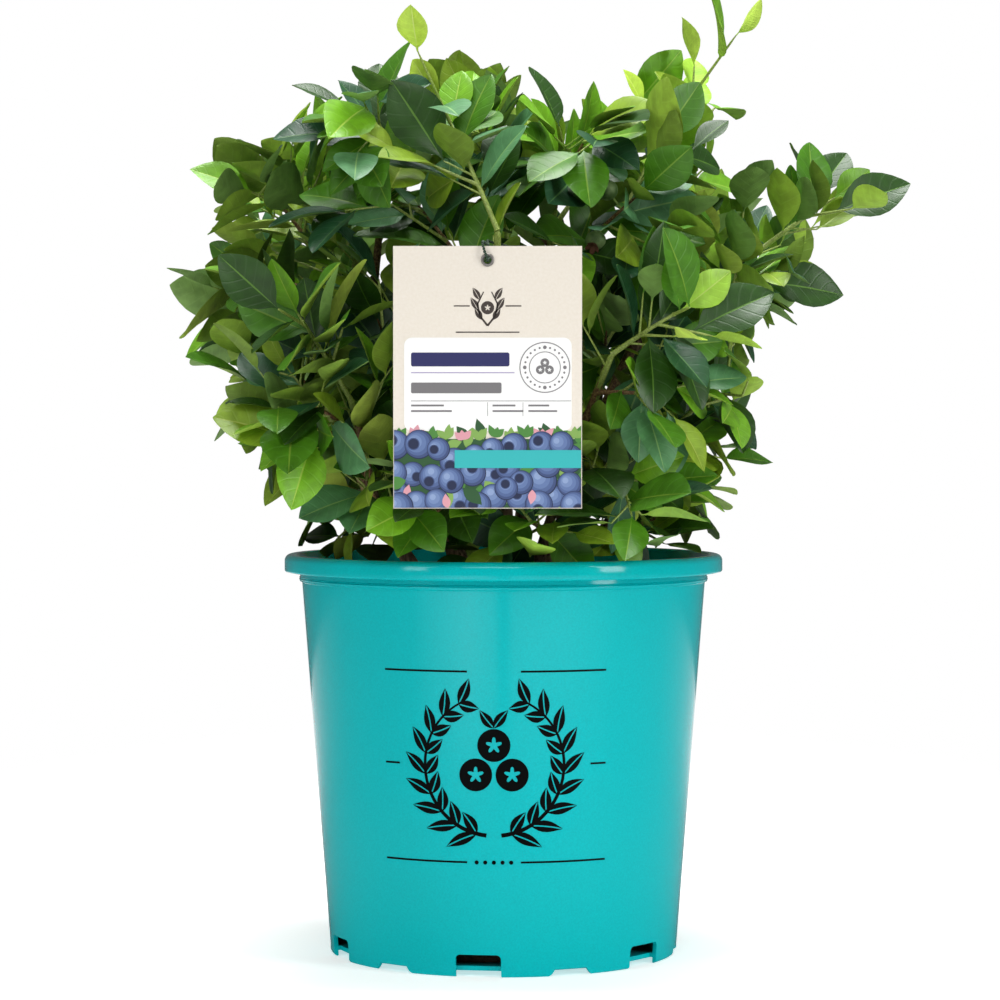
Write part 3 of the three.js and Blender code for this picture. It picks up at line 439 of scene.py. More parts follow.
# %% [markdown]
# ## Flat artwork, as thin layers
#
# The pot carries a black print and the tag a coloured one. An image texture would be the usual
# way, but this part has none, so the artwork is drawn with shapes: a strip that follows a path
# and changes its width makes leaves, stems and rules, and a ring makes berries and dots. They
# are laid on the surface like ink: the first layer stands a tenth of a millimetre proud, and each
# next one a little more. The design is a plain wreath of leaves and berries that belongs to nobody.

# %% Strips and rings
INK, LAYER = 0.12, 0.05  # how far the first layer stands off the surface, and each next one more


class Art:
    """Flat shapes with a colour each, gathered to be laid on a surface."""

    def __init__(self):
        self.points, self.faces, self.colours = [], [], []
        self.frame = None  # left, right, low and high: what sticks out is cut off there

    def grid(self, rows, colour, layer=0, closed=False):
        """Faces between rows of spots."""
        start = len(self.points)
        for x, y in (spot for row in rows for spot in row):
            if self.frame:
                left, right, low, high = self.frame
                x, y = min(right, max(left, x)), min(high, max(low, y))
            self.points.append((x, y, layer))
        new = grid_faces(len(rows), len(rows[0]), start, closed)
        self.faces += new
        self.colours += [colour] * len(new)

    def strip(self, path, halves, colour, layer=0, gap=0.0):
        """A strip along a path, as wide on each side as halves says; a gap leaves its middle bare."""
        path, halves = np.asarray(path, float), np.asarray(halves, float)
        along = np.gradient(path, axis=0)
        along /= np.linalg.norm(along, axis=1)[:, None]
        across = np.stack([-along[:, 1], along[:, 0]], axis=1)
        for side in (-1, 1):
            rows = []
            for p, a, half in zip(path, across, halves):
                inner = min(gap, half * 0.5)
                rows.append([tuple(p + a * side * mix(inner, half, s)) for s in (0.0, 0.5, 1.0)])
            self.grid(rows if side > 0 else [row[::-1] for row in rows], colour, layer)

    def leaf(self, foot, angle, length, width, colour, layer=0, bend=0.15, gap=0.0):
        """A pointed leaf from its foot, at an angle in degrees."""
        shares = np.linspace(0, 1, 9)
        c, s = math.cos(math.radians(angle)), math.sin(math.radians(angle))
        bowed = [(share * length, bend * length * share * (1 - share)) for share in shares]
        path = [(foot[0] + x * c - y * s, foot[1] + x * s + y * c) for x, y in bowed]
        halves = width / 2 * np.sin(np.pi * np.clip(shares, 0.004, 0.996) ** 0.85)
        self.strip(path, halves, colour, layer, gap)

    def ring(self, middle, inner, outer, colour, layer=0, points=40, star=0.0, tips=5):
        """A ring; star makes its inner edge a star with that share of depth."""
        (x, z), rows = middle, []
        turns = 2 * np.pi * np.arange(points) / points
        hole = inner * (1 + star * np.cos(tips * turns))
        for share in (0.0, 0.34, 0.67, 1.0):
            row = zip(mix(hole, outer, share), turns)
            rows.append([(x + r * math.sin(t), z + r * math.cos(t)) for r, t in row])
        self.grid(rows, colour, layer, closed=True)

    def bar(self, left, right, low, high, colour, layer=0, corner=0.0):
        """A rectangle, with rounded corners if wanted."""
        corner = max(corner, 0.01)
        middle = (low + high) / 2
        xs = [left + corner * (1 - math.cos(t)) for t in np.linspace(0, math.pi / 2, 7)]
        xs += list(np.linspace(left + corner, right - corner, 20)[1:-1])
        xs += [right - corner * (1 - math.cos(t)) for t in np.linspace(math.pi / 2, 0, 7)]
        halves = []
        for x in xs:
            over = max(0.0, left + corner - x, x - right + corner)
            halves.append((high - low) / 2 - corner + math.sqrt(max(0.0, corner**2 - over**2)))
        self.strip([(x, middle) for x in xs], np.maximum(halves, 0.004), colour, layer)

    def lay(self, name, place, materials, slot):
        """Makes the piece. place turns (x, y, height above the surface) into a point."""
        base = [place(x, y, -INK) for x, y, _ in self.points]
        top = [place(x, y, INK + LAYER * layer) for x, y, layer in self.points]
        count = len(base)
        faces = [tuple(i + count for i in f) for f in self.faces]
        faces += [tuple(f[::-1]) for f in self.faces]
        which = self.colours * 2
        owner = {}
        for face, colour in zip(self.faces, self.colours):
            for a, b in zip(face, face[1:] + face[:1]):
                owner[(a, b)] = colour
        for (a, b), colour in owner.items():
            if (b, a) not in owner:
                faces.append((a, b, b + count, a + count))
                which.append(colour)
        return piece(name, base + top, faces, materials, which, sharp=30, slot=slot)


print("the first layer of ink is", INK, "mm thick")

# %% The print on the pot
# Screen ink on polypropylene: dense black, a little less glossy than the moulded face round it.
made = new_material("black_screen_ink", "#020404", Roughness=0.5, Specular_IOR_Level=0.1)
pot_ink = cloudy(made, 0.6, 2, relief=(0.08, 0.05))
PRINT_SHIFT = -5  # the print's middle is this far left of the pot's
PRINT_MIDDLE = 112  # and this high
WREATH, WREATH_LEAVES, WREATH_STEPS = 37, 9, 30
STEM_FROM, STEM_TO, LEAVES_FROM, LEAVES_TO = -84, 66, -76, 60  # in degrees above the level
RULES, RULE_FROM, RULE_TO, RULE_HALF = (61, 161), 14, 61, 0.5
SIDE_RULE_FROM, DOT_STEP, DOT = 52, 4.5, 1.1
PRINT_BERRIES, BERRY, BERRY_STAR = ((-9.5, -5), (9.5, -5), (0, 10.5)), 8.6, 3.1


def on_pot(x, z, off):
    """A point on the pot's cone: x is measured round it from the print's middle."""
    radius = wall_radius(z)
    turn = (x + PRINT_SHIFT) / radius
    return ((radius + off) * math.sin(turn), -(radius + off) * math.cos(turn), z)


def on_wreath(side, turn):
    return (side * WREATH * math.cos(turn), PRINT_MIDDLE + WREATH * math.sin(turn))


art = Art()
for side in (-1, 1):
    turns = np.radians(np.linspace(STEM_FROM, STEM_TO, WREATH_STEPS))
    art.strip([on_wreath(side, t) for t in turns], np.linspace(1.1, 0.5, WREATH_STEPS), 0)
    for share in np.arange(WREATH_LEAVES) / (WREATH_LEAVES - 1):
        turn = mix(LEAVES_FROM, LEAVES_TO, share)
        foot = on_wreath(side, math.radians(turn))
        for lean, length in ((-38, 17), (42, 13)):  # the outer and the inner leaf of a pair
            angle = turn + 90 + lean if side > 0 else 90 - turn - lean
            length *= mix(1.05, 0.85, share)
            art.leaf(foot, angle, length, 6.2, 0, bend=side * 0.12, gap=0.35)
for x, z in PRINT_BERRIES:
    art.ring((x, PRINT_MIDDLE + z), BERRY_STAR, BERRY, 0, star=0.42)
for angle in (52, 128):
    art.leaf((0, PRINT_MIDDLE + 19.5), angle, 12, 5.4, 0, bend=0.1, gap=0.3)
rules = [(SIDE_RULE_FROM, PRINT_MIDDLE)] + [(RULE_FROM, height) for height in RULES]
for side in (-1, 1):
    for start, height in rules:
        ends = sorted((side * start, side * RULE_TO))
        art.bar(*ends, height - RULE_HALF, height + RULE_HALF, 0)
    for step in range(3):
        art.ring((side * DOT_STEP * step, RULES[0]), 0.01, DOT, 0, points=16)
art.lay("pot_print", on_pot, [pot_ink], "pot_plastic")
print("the print is drawn with", len(art.faces), "faces")

# %% [markdown]
# ## The potting mix
#
# Blueberries are potted in bark compost: dark, moist, fibrous, with chips of bark and a few
# white grains of perlite. Its solid keeps the right level, so it stays and gets a rough dark
# material. What makes it read as compost is relief, so a few hundred flat chips lie on it,
# each a squashed and twisted slab, tipped a little.

# %% Compost and chips
# Moist bark compost: very rough, with dark brown fibres 2 to 3 mm across and paler specks.
made = new_material("moist_bark_compost", "#2A1C13", Roughness=0.95)
fibres = {"relief": (0.9, 1.2), "Roughness": 0.7}
compost = cloudy(made, 2.5, 6, ("#170F0A", "#4A3423"), (0.35, 0.68), **fibres)
# Bark dries paler. Perlite is a puffed volcanic glass: dull, off-white grains.
CHIP_LOOKS = (("pine_bark_chip", "#4B3120", 0.9), ("dry_pine_bark", "#6E4B31", 0.9))
CHIP_LOOKS += (("perlite_grain", "#D9D6CC", 0.85),)
chip_looks = [new_material(name, tone, Roughness=rough)[0] for name, tone, rough in CHIP_LOOKS]
mix_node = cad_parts["potting_mix"]
mix_node.data.materials.clear()
mix_node.data.materials.append(compost)

CHIPS, CHIP_SEED, PERLITE_SHARE, DRY_SHARE = 620, 7, 0.09, 0.3
CHIP_SPANS, GRAIN_SPAN = ((2, 6), (1.5, 3.5), (0.5, 1.2)), (1.1, 2.0)
draw = np.random.default_rng(CHIP_SEED)
mix_radius = inside(POT_HEIGHT - MIX_DEPTH) - 7
slab = np.array([(x, y, z) for x in (-1, 1) for y in (-1, 0, 1) for z in (-1, 1)], float)
SLAB_FACES = [(0, 2, 3, 1), (2, 4, 5, 3), (6, 7, 9, 8), (8, 9, 11, 10)]
SLAB_FACES += [(0, 1, 7, 6), (4, 10, 11, 5), (0, 6, 8, 2), (2, 8, 10, 4), (1, 3, 9, 7), (3, 5, 11, 9)]


def chip():
    """One chip or grain, somewhere on the mix: a slab made uneven, tipped and turned."""
    kind = 2 if draw.random() < PERLITE_SHARE else int(draw.random() < DRY_SHARE)
    spans = [GRAIN_SPAN] * 3 if kind == 2 else CHIP_SPANS
    size = np.array([draw.uniform(*span) for span in spans])
    shape = slab * size * draw.uniform(0.75, 1.15, slab.shape)
    spin, tip = draw.uniform(0, 2 * math.pi), draw.normal(0, 0.22)
    x = shape[:, 0] * math.cos(tip) - shape[:, 2] * math.sin(tip)
    z = shape[:, 0] * math.sin(tip) + shape[:, 2] * math.cos(tip)
    turned_x = x * math.cos(spin) - shape[:, 1] * math.sin(spin)
    turned_y = x * math.sin(spin) + shape[:, 1] * math.cos(spin)
    radius, turn = mix_radius * math.sqrt(draw.random()), draw.uniform(0, 2 * math.pi)
    lift = POT_HEIGHT - MIX_DEPTH + size[2] * 0.6 + draw.uniform(-0.4, 0.8)
    middle = (radius * math.cos(turn), radius * math.sin(turn), lift)
    return np.stack([turned_x, turned_y, z], axis=1) + middle, SLAB_FACES, [kind] * len(SLAB_FACES)


points, faces, which = joined([chip() for _ in range(CHIPS)])
piece("bark_chips", points, faces, chip_looks, which, slot="potting_mix")
print(CHIPS, "chips lie on the mix")

# %% [markdown]
# ## The hang tag
#
# The tag is stiff coated board, 0.9 mm thick, printed in colour on its front, with a rolled
# metal eyelet. The board's solid is already the right flat plate with a hole, so it stays and
# gets the board's material. The print is laid on it in layers: a white panel with plain bars
# where a label has its words, a round stamp, and a picture of berries among leaves.

# %% The board and its print
TAG_WIDTH, TAG_HEIGHT, TAG_THICKNESS = 95, 132, 0.9
TAG_CENTRE = (-8, -148, 312.5)
EYELET_DROP, EYELET_RADIUS, EYELET_BORE = 7, 3.4, 1.9
# Coated board: nearly smooth, with a soft satin sheen and a faint fibre tone.
made = new_material("coated_tag_board", "#EEE6D9", Roughness=0.55)
board = cloudy(made, 1.5, 4, ("#ECE3D5", "#F1E9DD"), relief=(0.05, 0.05))
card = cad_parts["tag_card"]
card.data.materials.clear()
card.data.materials.append(board)
TAG_INKS = {
    "white": "#FDFDFC",
    "navy": "#2B2D63",
    "grey": "#7C7A7C",
    "brown": "#433A35",
    "lilac": "#A79BC4",
    "turquoise": "#35B9BB",
    "berry_0": "#232C4C",
    "berry_1": "#41527F",
    "berry_2": "#536898",
    "berry_3": "#647BAB",
    "berry_4": "#768DBA",
    "berry_5": "#8EA3CB",
    "leaf": "#4F8A3F",
    "leaf_light": "#86AE58",
    "leaf_dark": "#2F5A34",
    "blossom": "#E0A0AC",
}
# Offset ink is a film far thinner than these layers, so it is as smooth as the board's coating.
tag_inks = [new_material(f"offset_ink_{n}", c, Roughness=0.5)[0] for n, c in TAG_INKS.items()]
ink = {name: i for i, name in enumerate(TAG_INKS)}


def on_tag(x, z, off):
    """A point on the tag's front: x and z from its middle."""
    return (TAG_CENTRE[0] + x, TAG_CENTRE[1] - TAG_THICKNESS / 2 - off, TAG_CENTRE[2] + z)


# Sizes on the tag are millimetres across and up from its middle.
RULES_AND_BARS = (
    # left, right, low, high, ink, layer, corner
    (-16, 16, 22.4, 23.0, "brown", 0, 0),
    (-42, 42.3, -27, 20, "white", 0, 4),
    (-38.5, 11, 5.5, 12.5, "navy", 1, 1),
    (-38.5, 13.5, 2.1, 2.6, "lilac", 1, 0),
    (-38.5, 7, -8, -2.6, "grey", 1, 0.8),
    (-38.5, 42, -12.0, -11.7, "grey", 1, 0),
    (-0.12, 0.12, -19.5, -12.5, "grey", 1, 0),
    (17.68, 17.92, -19.5, -12.5, "grey", 1, 0),
)
SMALL_BARS = ((-38.5, -22), (2.5, 14), (20.5, 31))  # two lines under each other, the second longer
SPRIG_STEM = ((0, 26), (4, 31), (5, 37), (2, 43))
SPRIG_LEAVES = ((3, 29), (5, 34), (4, 39))
STAMP, STAMP_RINGS = (28.8, 5), ((12.3, 12.8), (7.6, 8.0))
STAMP_BERRIES = ((-2.3, -1.2), (2.3, -1.2), (0, 2.4))
STAMP_DOTS, DOTS_RADIUS, SMALL_DOT, LARGE_DOT = 24, 10.1, 0.55, 0.95
art = Art()
for left, right, low, high, colour, layer, corner in RULES_AND_BARS:
    art.bar(left, right, low, high, ink[colour], layer, corner)
for left, right in SMALL_BARS:
    art.bar(left, right, -14.6, -13.7, ink["grey"], 1)
    art.bar(left, right + 4, -17.4, -16.5, ink["grey"], 1)
for side in (-1, 1):
    art.bar(*sorted((side * 9, side * 17)), 35.6, 36.2, ink["brown"])
    art.strip([(side * x, z) for x, z in SPRIG_STEM], [0.5, 0.45, 0.4, 0.25], ink["brown"])
    for x, z in SPRIG_LEAVES:
        art.leaf((side * x, z), 90 - 30 * side, 7, 3.2, ink["brown"], 0, side * 0.1, 0.15)
art.ring((0, 35), 1.1, 3.3, ink["brown"], star=0.4)
for inner, outer in STAMP_RINGS:
    art.ring(STAMP, inner, outer, ink["grey"], 1, 60)
for i in range(STAMP_DOTS):
    turn = 2 * math.pi * i / STAMP_DOTS
    spot = (STAMP[0] + DOTS_RADIUS * math.sin(turn), STAMP[1] + DOTS_RADIUS * math.cos(turn))
    art.ring(spot, 0.01, SMALL_DOT if i % 6 else LARGE_DOT, ink["grey"], 1, 10)
for x, z in STAMP_BERRIES:
    art.ring((STAMP[0] + x, STAMP[1] + z), 0.8, 2.2, ink["grey"], 1, 24, 0.35)
print("the head, the panel and the stamp have", len(art.faces), "faces")

# %% The picture on the tag: leaves and blossom behind, berries before them
PICTURE_FOOT, PICTURE_HALF = -TAG_HEIGHT / 2 + 0.4, TAG_WIDTH / 2 - 0.4
LEAVES_TOP, BERRIES_TOP, SPRAYS_BELOW = -31, -33, -38
PICTURE_LEAVES, LEAF_ROWS, TUFTS, BLOSSOM_TUFTS = 64, 16, 12, (1, 4, 9)
PICTURE_BERRIES, OPEN_BERRIES, BERRY_RADII = 34, 24, (5.8, 7.6)
# shares of a berry's radius, from its dark edge to the shine, which is a little aside of the middle
BERRY_TONES, SHINE_ASIDE, SHINE_OFF = (1.0, 0.95, 0.82, 0.66, 0.46, 0.24), 0.6, 0.6
# layers: each leaf, tuft or berry lies a little above the last, and each tone above the one below
LEAF_LAYER, TUFT_LAYER, BERRY_LAYER, TOP_LAYER = 1.4, 2.3, 3.4, 8
NEXT_LEAF, NEXT_BERRY, NEXT_TONE = 0.03, 0.12, 0.014
draw = np.random.default_rng(21)
art.frame = (-PICTURE_HALF, PICTURE_HALF, PICTURE_FOOT, 60)
art.bar(-PICTURE_HALF, PICTURE_HALF, PICTURE_FOOT, LEAVES_TOP, ink["leaf_dark"], 1.2)
for i in range(PICTURE_LEAVES):
    row = i % LEAF_ROWS
    up = mix(PICTURE_FOOT, LEAVES_TOP, row / (LEAF_ROWS - 1))
    foot = (draw.uniform(-PICTURE_HALF, PICTURE_HALF), up)
    colour = ("leaf", "leaf_light", "leaf", "leaf_dark")[i % 4]
    angle = draw.uniform(20, 160) if row > 11 else draw.uniform(0, 360)  # the top rows point up
    layer = LEAF_LAYER + NEXT_LEAF * (i % 30)
    art.leaf(foot, angle, draw.uniform(8, 12), 5, ink[colour], layer, 0.15)
for i in range(TUFTS):
    across = mix(3 - PICTURE_HALF, PICTURE_HALF - 3, i / (TUFTS - 1))
    foot = (across, LEAVES_TOP + draw.uniform(-1, 1))
    for angle in (50, 90, 130):
        turn = angle + draw.uniform(-14, 14)
        colour = "blossom" if i in BLOSSOM_TUFTS else ("leaf", "leaf_light")[(i + angle) % 2]
        layer = TUFT_LAYER + NEXT_LEAF * i + angle / 400
        art.leaf(foot, turn, draw.uniform(5, 8), 3.6, ink[colour], layer, 0.12)
berries = []
while len(berries) < PICTURE_BERRIES:
    x, z = draw.uniform(-PICTURE_HALF, PICTURE_HALF), draw.uniform(PICTURE_FOOT, BERRIES_TOP)
    r = draw.uniform(*BERRY_RADII)
    apart = 0.74 if len(berries) < OPEN_BERRIES else 0.6
    if all(math.dist((x, z), other[:2]) > apart * (r + other[2]) for other in berries):
        berries.append((x, z, r))
for i, (x, z, r) in enumerate(berries):
    layer, turn = BERRY_LAYER + NEXT_BERRY * i, draw.uniform(-0.5, 0.5) - SHINE_ASIDE
    for tone, size in enumerate(BERRY_TONES):
        off = SHINE_OFF * r * (1 - size)
        spot = (x + off * math.sin(turn), z + off * math.cos(turn))
        art.ring(spot, 0.01, size * r, ink[f"berry_{tone}"], layer + NEXT_TONE * tone, 32)
    if i % 3:
        turn = draw.uniform(0, 2 * math.pi)
        eye = (x + 0.38 * r * math.sin(turn), z + 0.38 * r * math.cos(turn))
        art.ring(eye, 0.01, 0.42 * r, ink["berry_1"], layer + NEXT_TONE * 6, 20)
        art.ring(eye, 0.01, 0.35 * r, ink["berry_0"], layer + NEXT_TONE * 7, 20)
    if i % 2 and z < SPRAYS_BELOW:
        colour = ("leaf", "leaf_light", "blossom", "leaf_dark")[i // 2 % 4]
        reach = 1.2 * r if colour == "blossom" else 1.9 * r
        foot, angle = (x + 0.9 * r, z - 0.6 * r), draw.uniform(0, 360)
        art.leaf(foot, angle, reach, 0.55 * reach, ink[colour], layer + NEXT_TONE * 8, 0.15)
art.frame = None
art.bar(-16.6, PICTURE_HALF, -45.6, -36.6, ink["turquoise"], TOP_LAYER)
art.lay("tag_print", on_tag, tag_inks, "tag_card")
print("the tag's print has", len(art.faces), "faces")

# %% The eyelet
# Rolled steel with a grey enamel: smooth, with a bright line round its rolled edge.
eyelet_metal, _, _ = new_material("grey_enamelled_steel", "#8E8A86", Metallic=0.6, Roughness=0.36)
eyelet_z = TAG_CENTRE[2] + TAG_HEIGHT / 2 - EYELET_DROP
face = TAG_THICKNESS / 2 + 0.3
roll, roll_radius = (EYELET_BORE + EYELET_RADIUS) / 2, (EYELET_RADIUS - EYELET_BORE) / 2
eyelet_profile = [(EYELET_BORE, -face), (EYELET_BORE + 0.05, -face - 0.5)]
eyelet_profile += arc((roll, -face - 0.05), roll_radius, 190, 360, 10)
eyelet_profile += [(EYELET_BORE + 0.6, -face), (EYELET_BORE + 0.6, face)]
eyelet_profile += arc((roll, face + 0.05), roll_radius, 0, 170, 10)
points, faces = turned(eyelet_profile + [(EYELET_BORE, face), (EYELET_BORE, -face)], 48)
points = [(TAG_CENTRE[0] + x, TAG_CENTRE[1] + z, eyelet_z - y) for x, y, z in points]
piece("rolled_eyelet", points, faces, [eyelet_metal], sharp=50, slot="eyelet", replaces=["tag_eyelet"])
print("the eyelet is", 2 * EYELET_RADIUS, "mm across")

# %% [markdown]
# ## How the bush grows: limbs
#
# A blueberry has no trunk. Several stems rise from the root ball, fork into boughs, and every
# bough carries leafy twigs. The shapes could be modelled one by one, or scattered at random. A
# seeded rule does better than both: it is random enough to look grown, and gives the same bush
# each time. The rule below is the one that grew the plant's solids, with the same numbers, so
# that the leafy bush fits its collision shape. Each stem is one bent line from its foot to its tip.

# %% Stems and boughs, as the solids have them
MIX_TOP = POT_HEIGHT - MIX_DEPTH
CANES = {
    # foot (x, y), tip (x, y, z), bow, thickness at the foot
    "cane_left_low": ((-38, -26), (-96, -48, 302), -0.1, 4.2),
    "cane_left": ((-22, -4), (-84, -14, 384), 0.16, 4),
    "cane_front": ((-6, -34), (-3, -118, 388), 0.2, 3.4),
    "cane_top": ((6, 6), (28, -2, 408), 0.1, 3.8),
    "cane_right": ((20, 0), (98, -14, 384), 0.18, 4.2),
    "cane_right_low": ((30, -24), (90, -42, 286), 0.02, 3.8),
    "cane_front_right": ((12, -40), (56, -106, 325), 0.1, 3.2),
    "cane_back_left": ((-18, 22), (-76, 80, 352), 0.12, 3.8),
    "cane_back": ((2, 30), (2, 92, 392), 0.14, 3.6),
    "cane_back_right": ((20, 24), (82, 80, 355), 0.12, 3.8),
}
BOUGHS = {
    # the stem it forks from, where along it, tip, thickness at the foot
    "bough_left_arm": ("cane_left", 0.66, (-98, -30, 378), 2.6),
    "bough_top_left": ("cane_left", 0.84, (-62, -54, 428), 2.2),
    "bough_front_left": ("cane_left_low", 0.5, (-78, -104, 300), 2.4),
    "bough_right_arm": ("cane_right", 0.72, (140, -12, 384), 2.6),
}
CANE_TAPER, CANE_FLARE, CANE_SIDES, CANE_STEPS = 0.5, 1.35, 7, 5
BOUGH_TAPER, BOUGH_ARCH, BOUGH_SIDES, BOUGH_STEPS = 0.7, 0.05, 6, 4
CLEARANCE = 0.3
FORK_REACH, FORK_STEP = 24, 0.02
UP = np.array([0.0, 0.0, 1.0])
WORD = 0xFFFFFFFF  # the draws are made with 32-bit numbers


def chance(seed, draw):
    """A number from 0 to 1 that depends only on a seed and the number of the draw."""
    bits = (seed * 374761393 + draw * 668265263) & WORD
    bits = ((bits ^ (bits >> 13)) * 1274126177) & WORD
    return (bits ^ (bits >> 16)) / 2**32


def unit(way):
    return way / np.linalg.norm(way)


def point_on(limb, share):
    """A point of a limb's line; share 0 is its foot and 1 its tip."""
    foot, middle, tip = limb["line"]
    return (1 - share) ** 2 * foot + 2 * (1 - share) * share * middle + share**2 * tip


def way_along(limb, share):
    step = 1e-4
    return unit(point_on(limb, min(1, share + step)) - point_on(limb, max(0, share - step)))


def square_to(way):
    """Two directions square to a way, the first of them level."""
    level = np.cross(way, UP)
    level[0] += 1e-6
    level = unit(level)
    return level, np.cross(level, way)


def leaving(way, angle, turn):
    """A direction that leaves a way at an angle, turned round it."""
    level, other = square_to(way)
    out = level * math.cos(turn) + other * math.sin(turn)
    return unit(way * math.cos(angle) + out * math.sin(angle))


def new_limb(foot, middle, tip, foot_radius, tip_radius):
    line = (np.asarray(foot, float), np.asarray(middle, float), np.asarray(tip, float))
    return {"line": line, "foot_radius": foot_radius, "tip_radius": tip_radius}


print(len(CANES), "stems and", len(BOUGHS), "boughs")

# %% [markdown]
# ## Nothing grows through anything else
#
# Real twigs and leaves push each other aside. Here each new one is tested against what already
# stands, and turned or dropped where it has no room. A sphere round each thing rules out most
# pairs at once. For the rest, three questions are enough: how near two edges come, whether an
# edge passes through a face, and how near a corner comes to a face. NumPy answers each of them
# for thousands of pairs together, which keeps the growing to seconds.


# %% How near edges, corners and faces come
def dot(a, b):
    return np.einsum("...i,...i", a, b)


def edges_apart(one, other):
    """Distances between each pair of edges, given as arrays of (start, end)."""
    start, turn = one[:, None, 0], one[:, None, 1] - one[:, None, 0]
    begin, way = other[None, :, 0], other[None, :, 1] - other[None, :, 0]
    gap = start - begin
    a, e, b = dot(turn, turn), dot(way, way), dot(turn, way)
    c, f = dot(turn, gap), dot(way, gap)
    under = a * e - b * b
    s = np.where(under > 1e-9, np.clip((b * f - c * e) / np.maximum(under, 1e-9), 0, 1), 0)
    t = np.clip((b * s + f) / e, 0, 1)
    s = np.clip((b * t - c) / a, 0, 1)
    nearest = gap + turn * s[..., None] - way * t[..., None]
    return np.sqrt(dot(nearest, nearest))


def any_through(edges, faces):
    """Whether any of the edges passes through any of the faces."""
    if not len(edges) or not len(faces):
        return False
    start, way = edges[:, None, 0], edges[:, None, 1] - edges[:, None, 0]
    corner = faces[None, :, 0]
    first, second = faces[None, :, 1] - corner, faces[None, :, 2] - corner
    across = np.cross(way, second)
    scale = dot(first, across)
    scale = np.where(np.abs(scale) < 1e-12, np.nan, scale)  # an edge along the face
    gap = start - corner
    u = dot(gap, across) / scale
    turned = np.cross(gap, first)
    v = dot(way, turned) / scale
    at = dot(second, turned) / scale
    return bool(np.any((u >= 0) & (v >= 0) & (u + v <= 1) & (at >= 0) & (at < 1)))


def corners_apart(points, faces):
    """Distances from each point to each face."""
    a, b, c = faces[None, :, 0], faces[None, :, 1], faces[None, :, 2]
    points = points[:, None]
    normal = np.cross(b - a, c - a)
    over = dot(points - a, normal)
    inside = np.ones(over.shape, bool)
    nearest = np.full(over.shape, np.inf)
    for start, end in ((a, b), (b, c), (c, a)):
        side = end - start
        gap = points - start
        inside &= dot(np.cross(side, gap), normal) >= 0
        share = np.clip(dot(gap, side) / dot(side, side), 0, 1)
        away = gap - side * share[..., None]
        nearest = np.minimum(nearest, dot(away, away))
    flat = over**2 / dot(normal, normal)
    return np.sqrt(np.where(inside, flat, nearest))


def faces_meet(one, other, gap):
    """Whether two sets of faces come closer than a gap."""
    round_one = one[:, [[0, 1], [1, 2], [2, 0]]].reshape(-1, 2, 3)
    round_other = other[:, [[0, 1], [1, 2], [2, 0]]].reshape(-1, 2, 3)
    if edges_apart(round_one, round_other).min() < gap:
        return True
    if any_through(round_one, other) or any_through(round_other, one):
        return True
    near_one = corners_apart(one.reshape(-1, 3), other).min() < gap
    return near_one or corners_apart(other.reshape(-1, 3), one).min() < gap


# %% [markdown]
# ## Where a fork begins
#
# A solid stem and a solid bough can't share their wood here, because they are separate parts. So
# a fork's foot is drawn back towards its parent until it stands three tenths of a millimetre
# from its bark. Halving the distance again and again finds that place to a hundredth.


# %% A limb as a bent prism, and the start of a fork
def prism(limb, sides, steps, flare=1.0, flat_foot=False):
    """Rings of points round a limb, from its foot to its tip."""
    foot, _, tip = limb["line"]
    chord = unit(tip - foot)
    guide = UP if abs(chord[2]) < 0.8 else np.array([1.0, 0.0, 0.0])
    turns = 2 * math.pi * np.arange(sides) / sides
    rings = []
    for i in range(steps + 1):
        share = i / steps
        centre, along = point_on(limb, share), way_along(limb, share)
        level = unit(np.cross(along, guide))
        other = np.cross(level, along)
        radius = mix(limb["foot_radius"], limb["tip_radius"], share) * (1 if i else flare)
        ring = centre + radius * (np.outer(np.sin(turns), level) + np.outer(np.cos(turns), other))
        if flat_foot and i == 0:
            ring[:, 2] = centre[2]
        rings.append(ring)
    return np.array(rings)


def prism_faces(limb, rings):
    """The triangles of a prism, its two ends among them."""
    faces = []
    sides = rings.shape[1]
    for lower, upper in zip(rings, rings[1:]):
        for i in range(sides):
            k = (i + 1) % sides
            faces.append((upper[i], lower[i], upper[k]))
            faces.append((lower[i], lower[k], upper[k]))
    for ring, middle in ((rings[-1], point_on(limb, 1)), (rings[0], point_on(limb, 0))):
        faces += [(ring[i], ring[(i + 1) % sides], middle) for i in range(sides)]
    return np.array(faces)


def branch(parent, share, tip, arch, foot_radius, tip_radius, sides):
    """A limb that leaves its parent at a share of its length and arches up to its tip."""
    root = point_on(parent, share)
    tip = np.asarray(tip, float)
    middle = (root + tip) / 2 + UP * arch * np.linalg.norm(tip - root)
    way = unit(middle - root)
    faces = parent["surface"]
    centre = (faces.min(axis=1) + faces.max(axis=1)) / 2
    near = faces[np.linalg.norm(centre - root, axis=1) < 2 * FORK_REACH]
    inside, outside = 0.0, float(FORK_REACH)
    while outside - inside > FORK_STEP:
        half = (inside + outside) / 2
        grown = new_limb(root + way * half, middle, tip, foot_radius, tip_radius)
        if faces_meet(prism_faces(grown, prism(grown, sides, 1)), near, CLEARANCE):
            inside = half
        else:
            outside = half
    grown = new_limb(root + way * outside, middle, tip, foot_radius, tip_radius)
    grown["root"] = root
    return grown


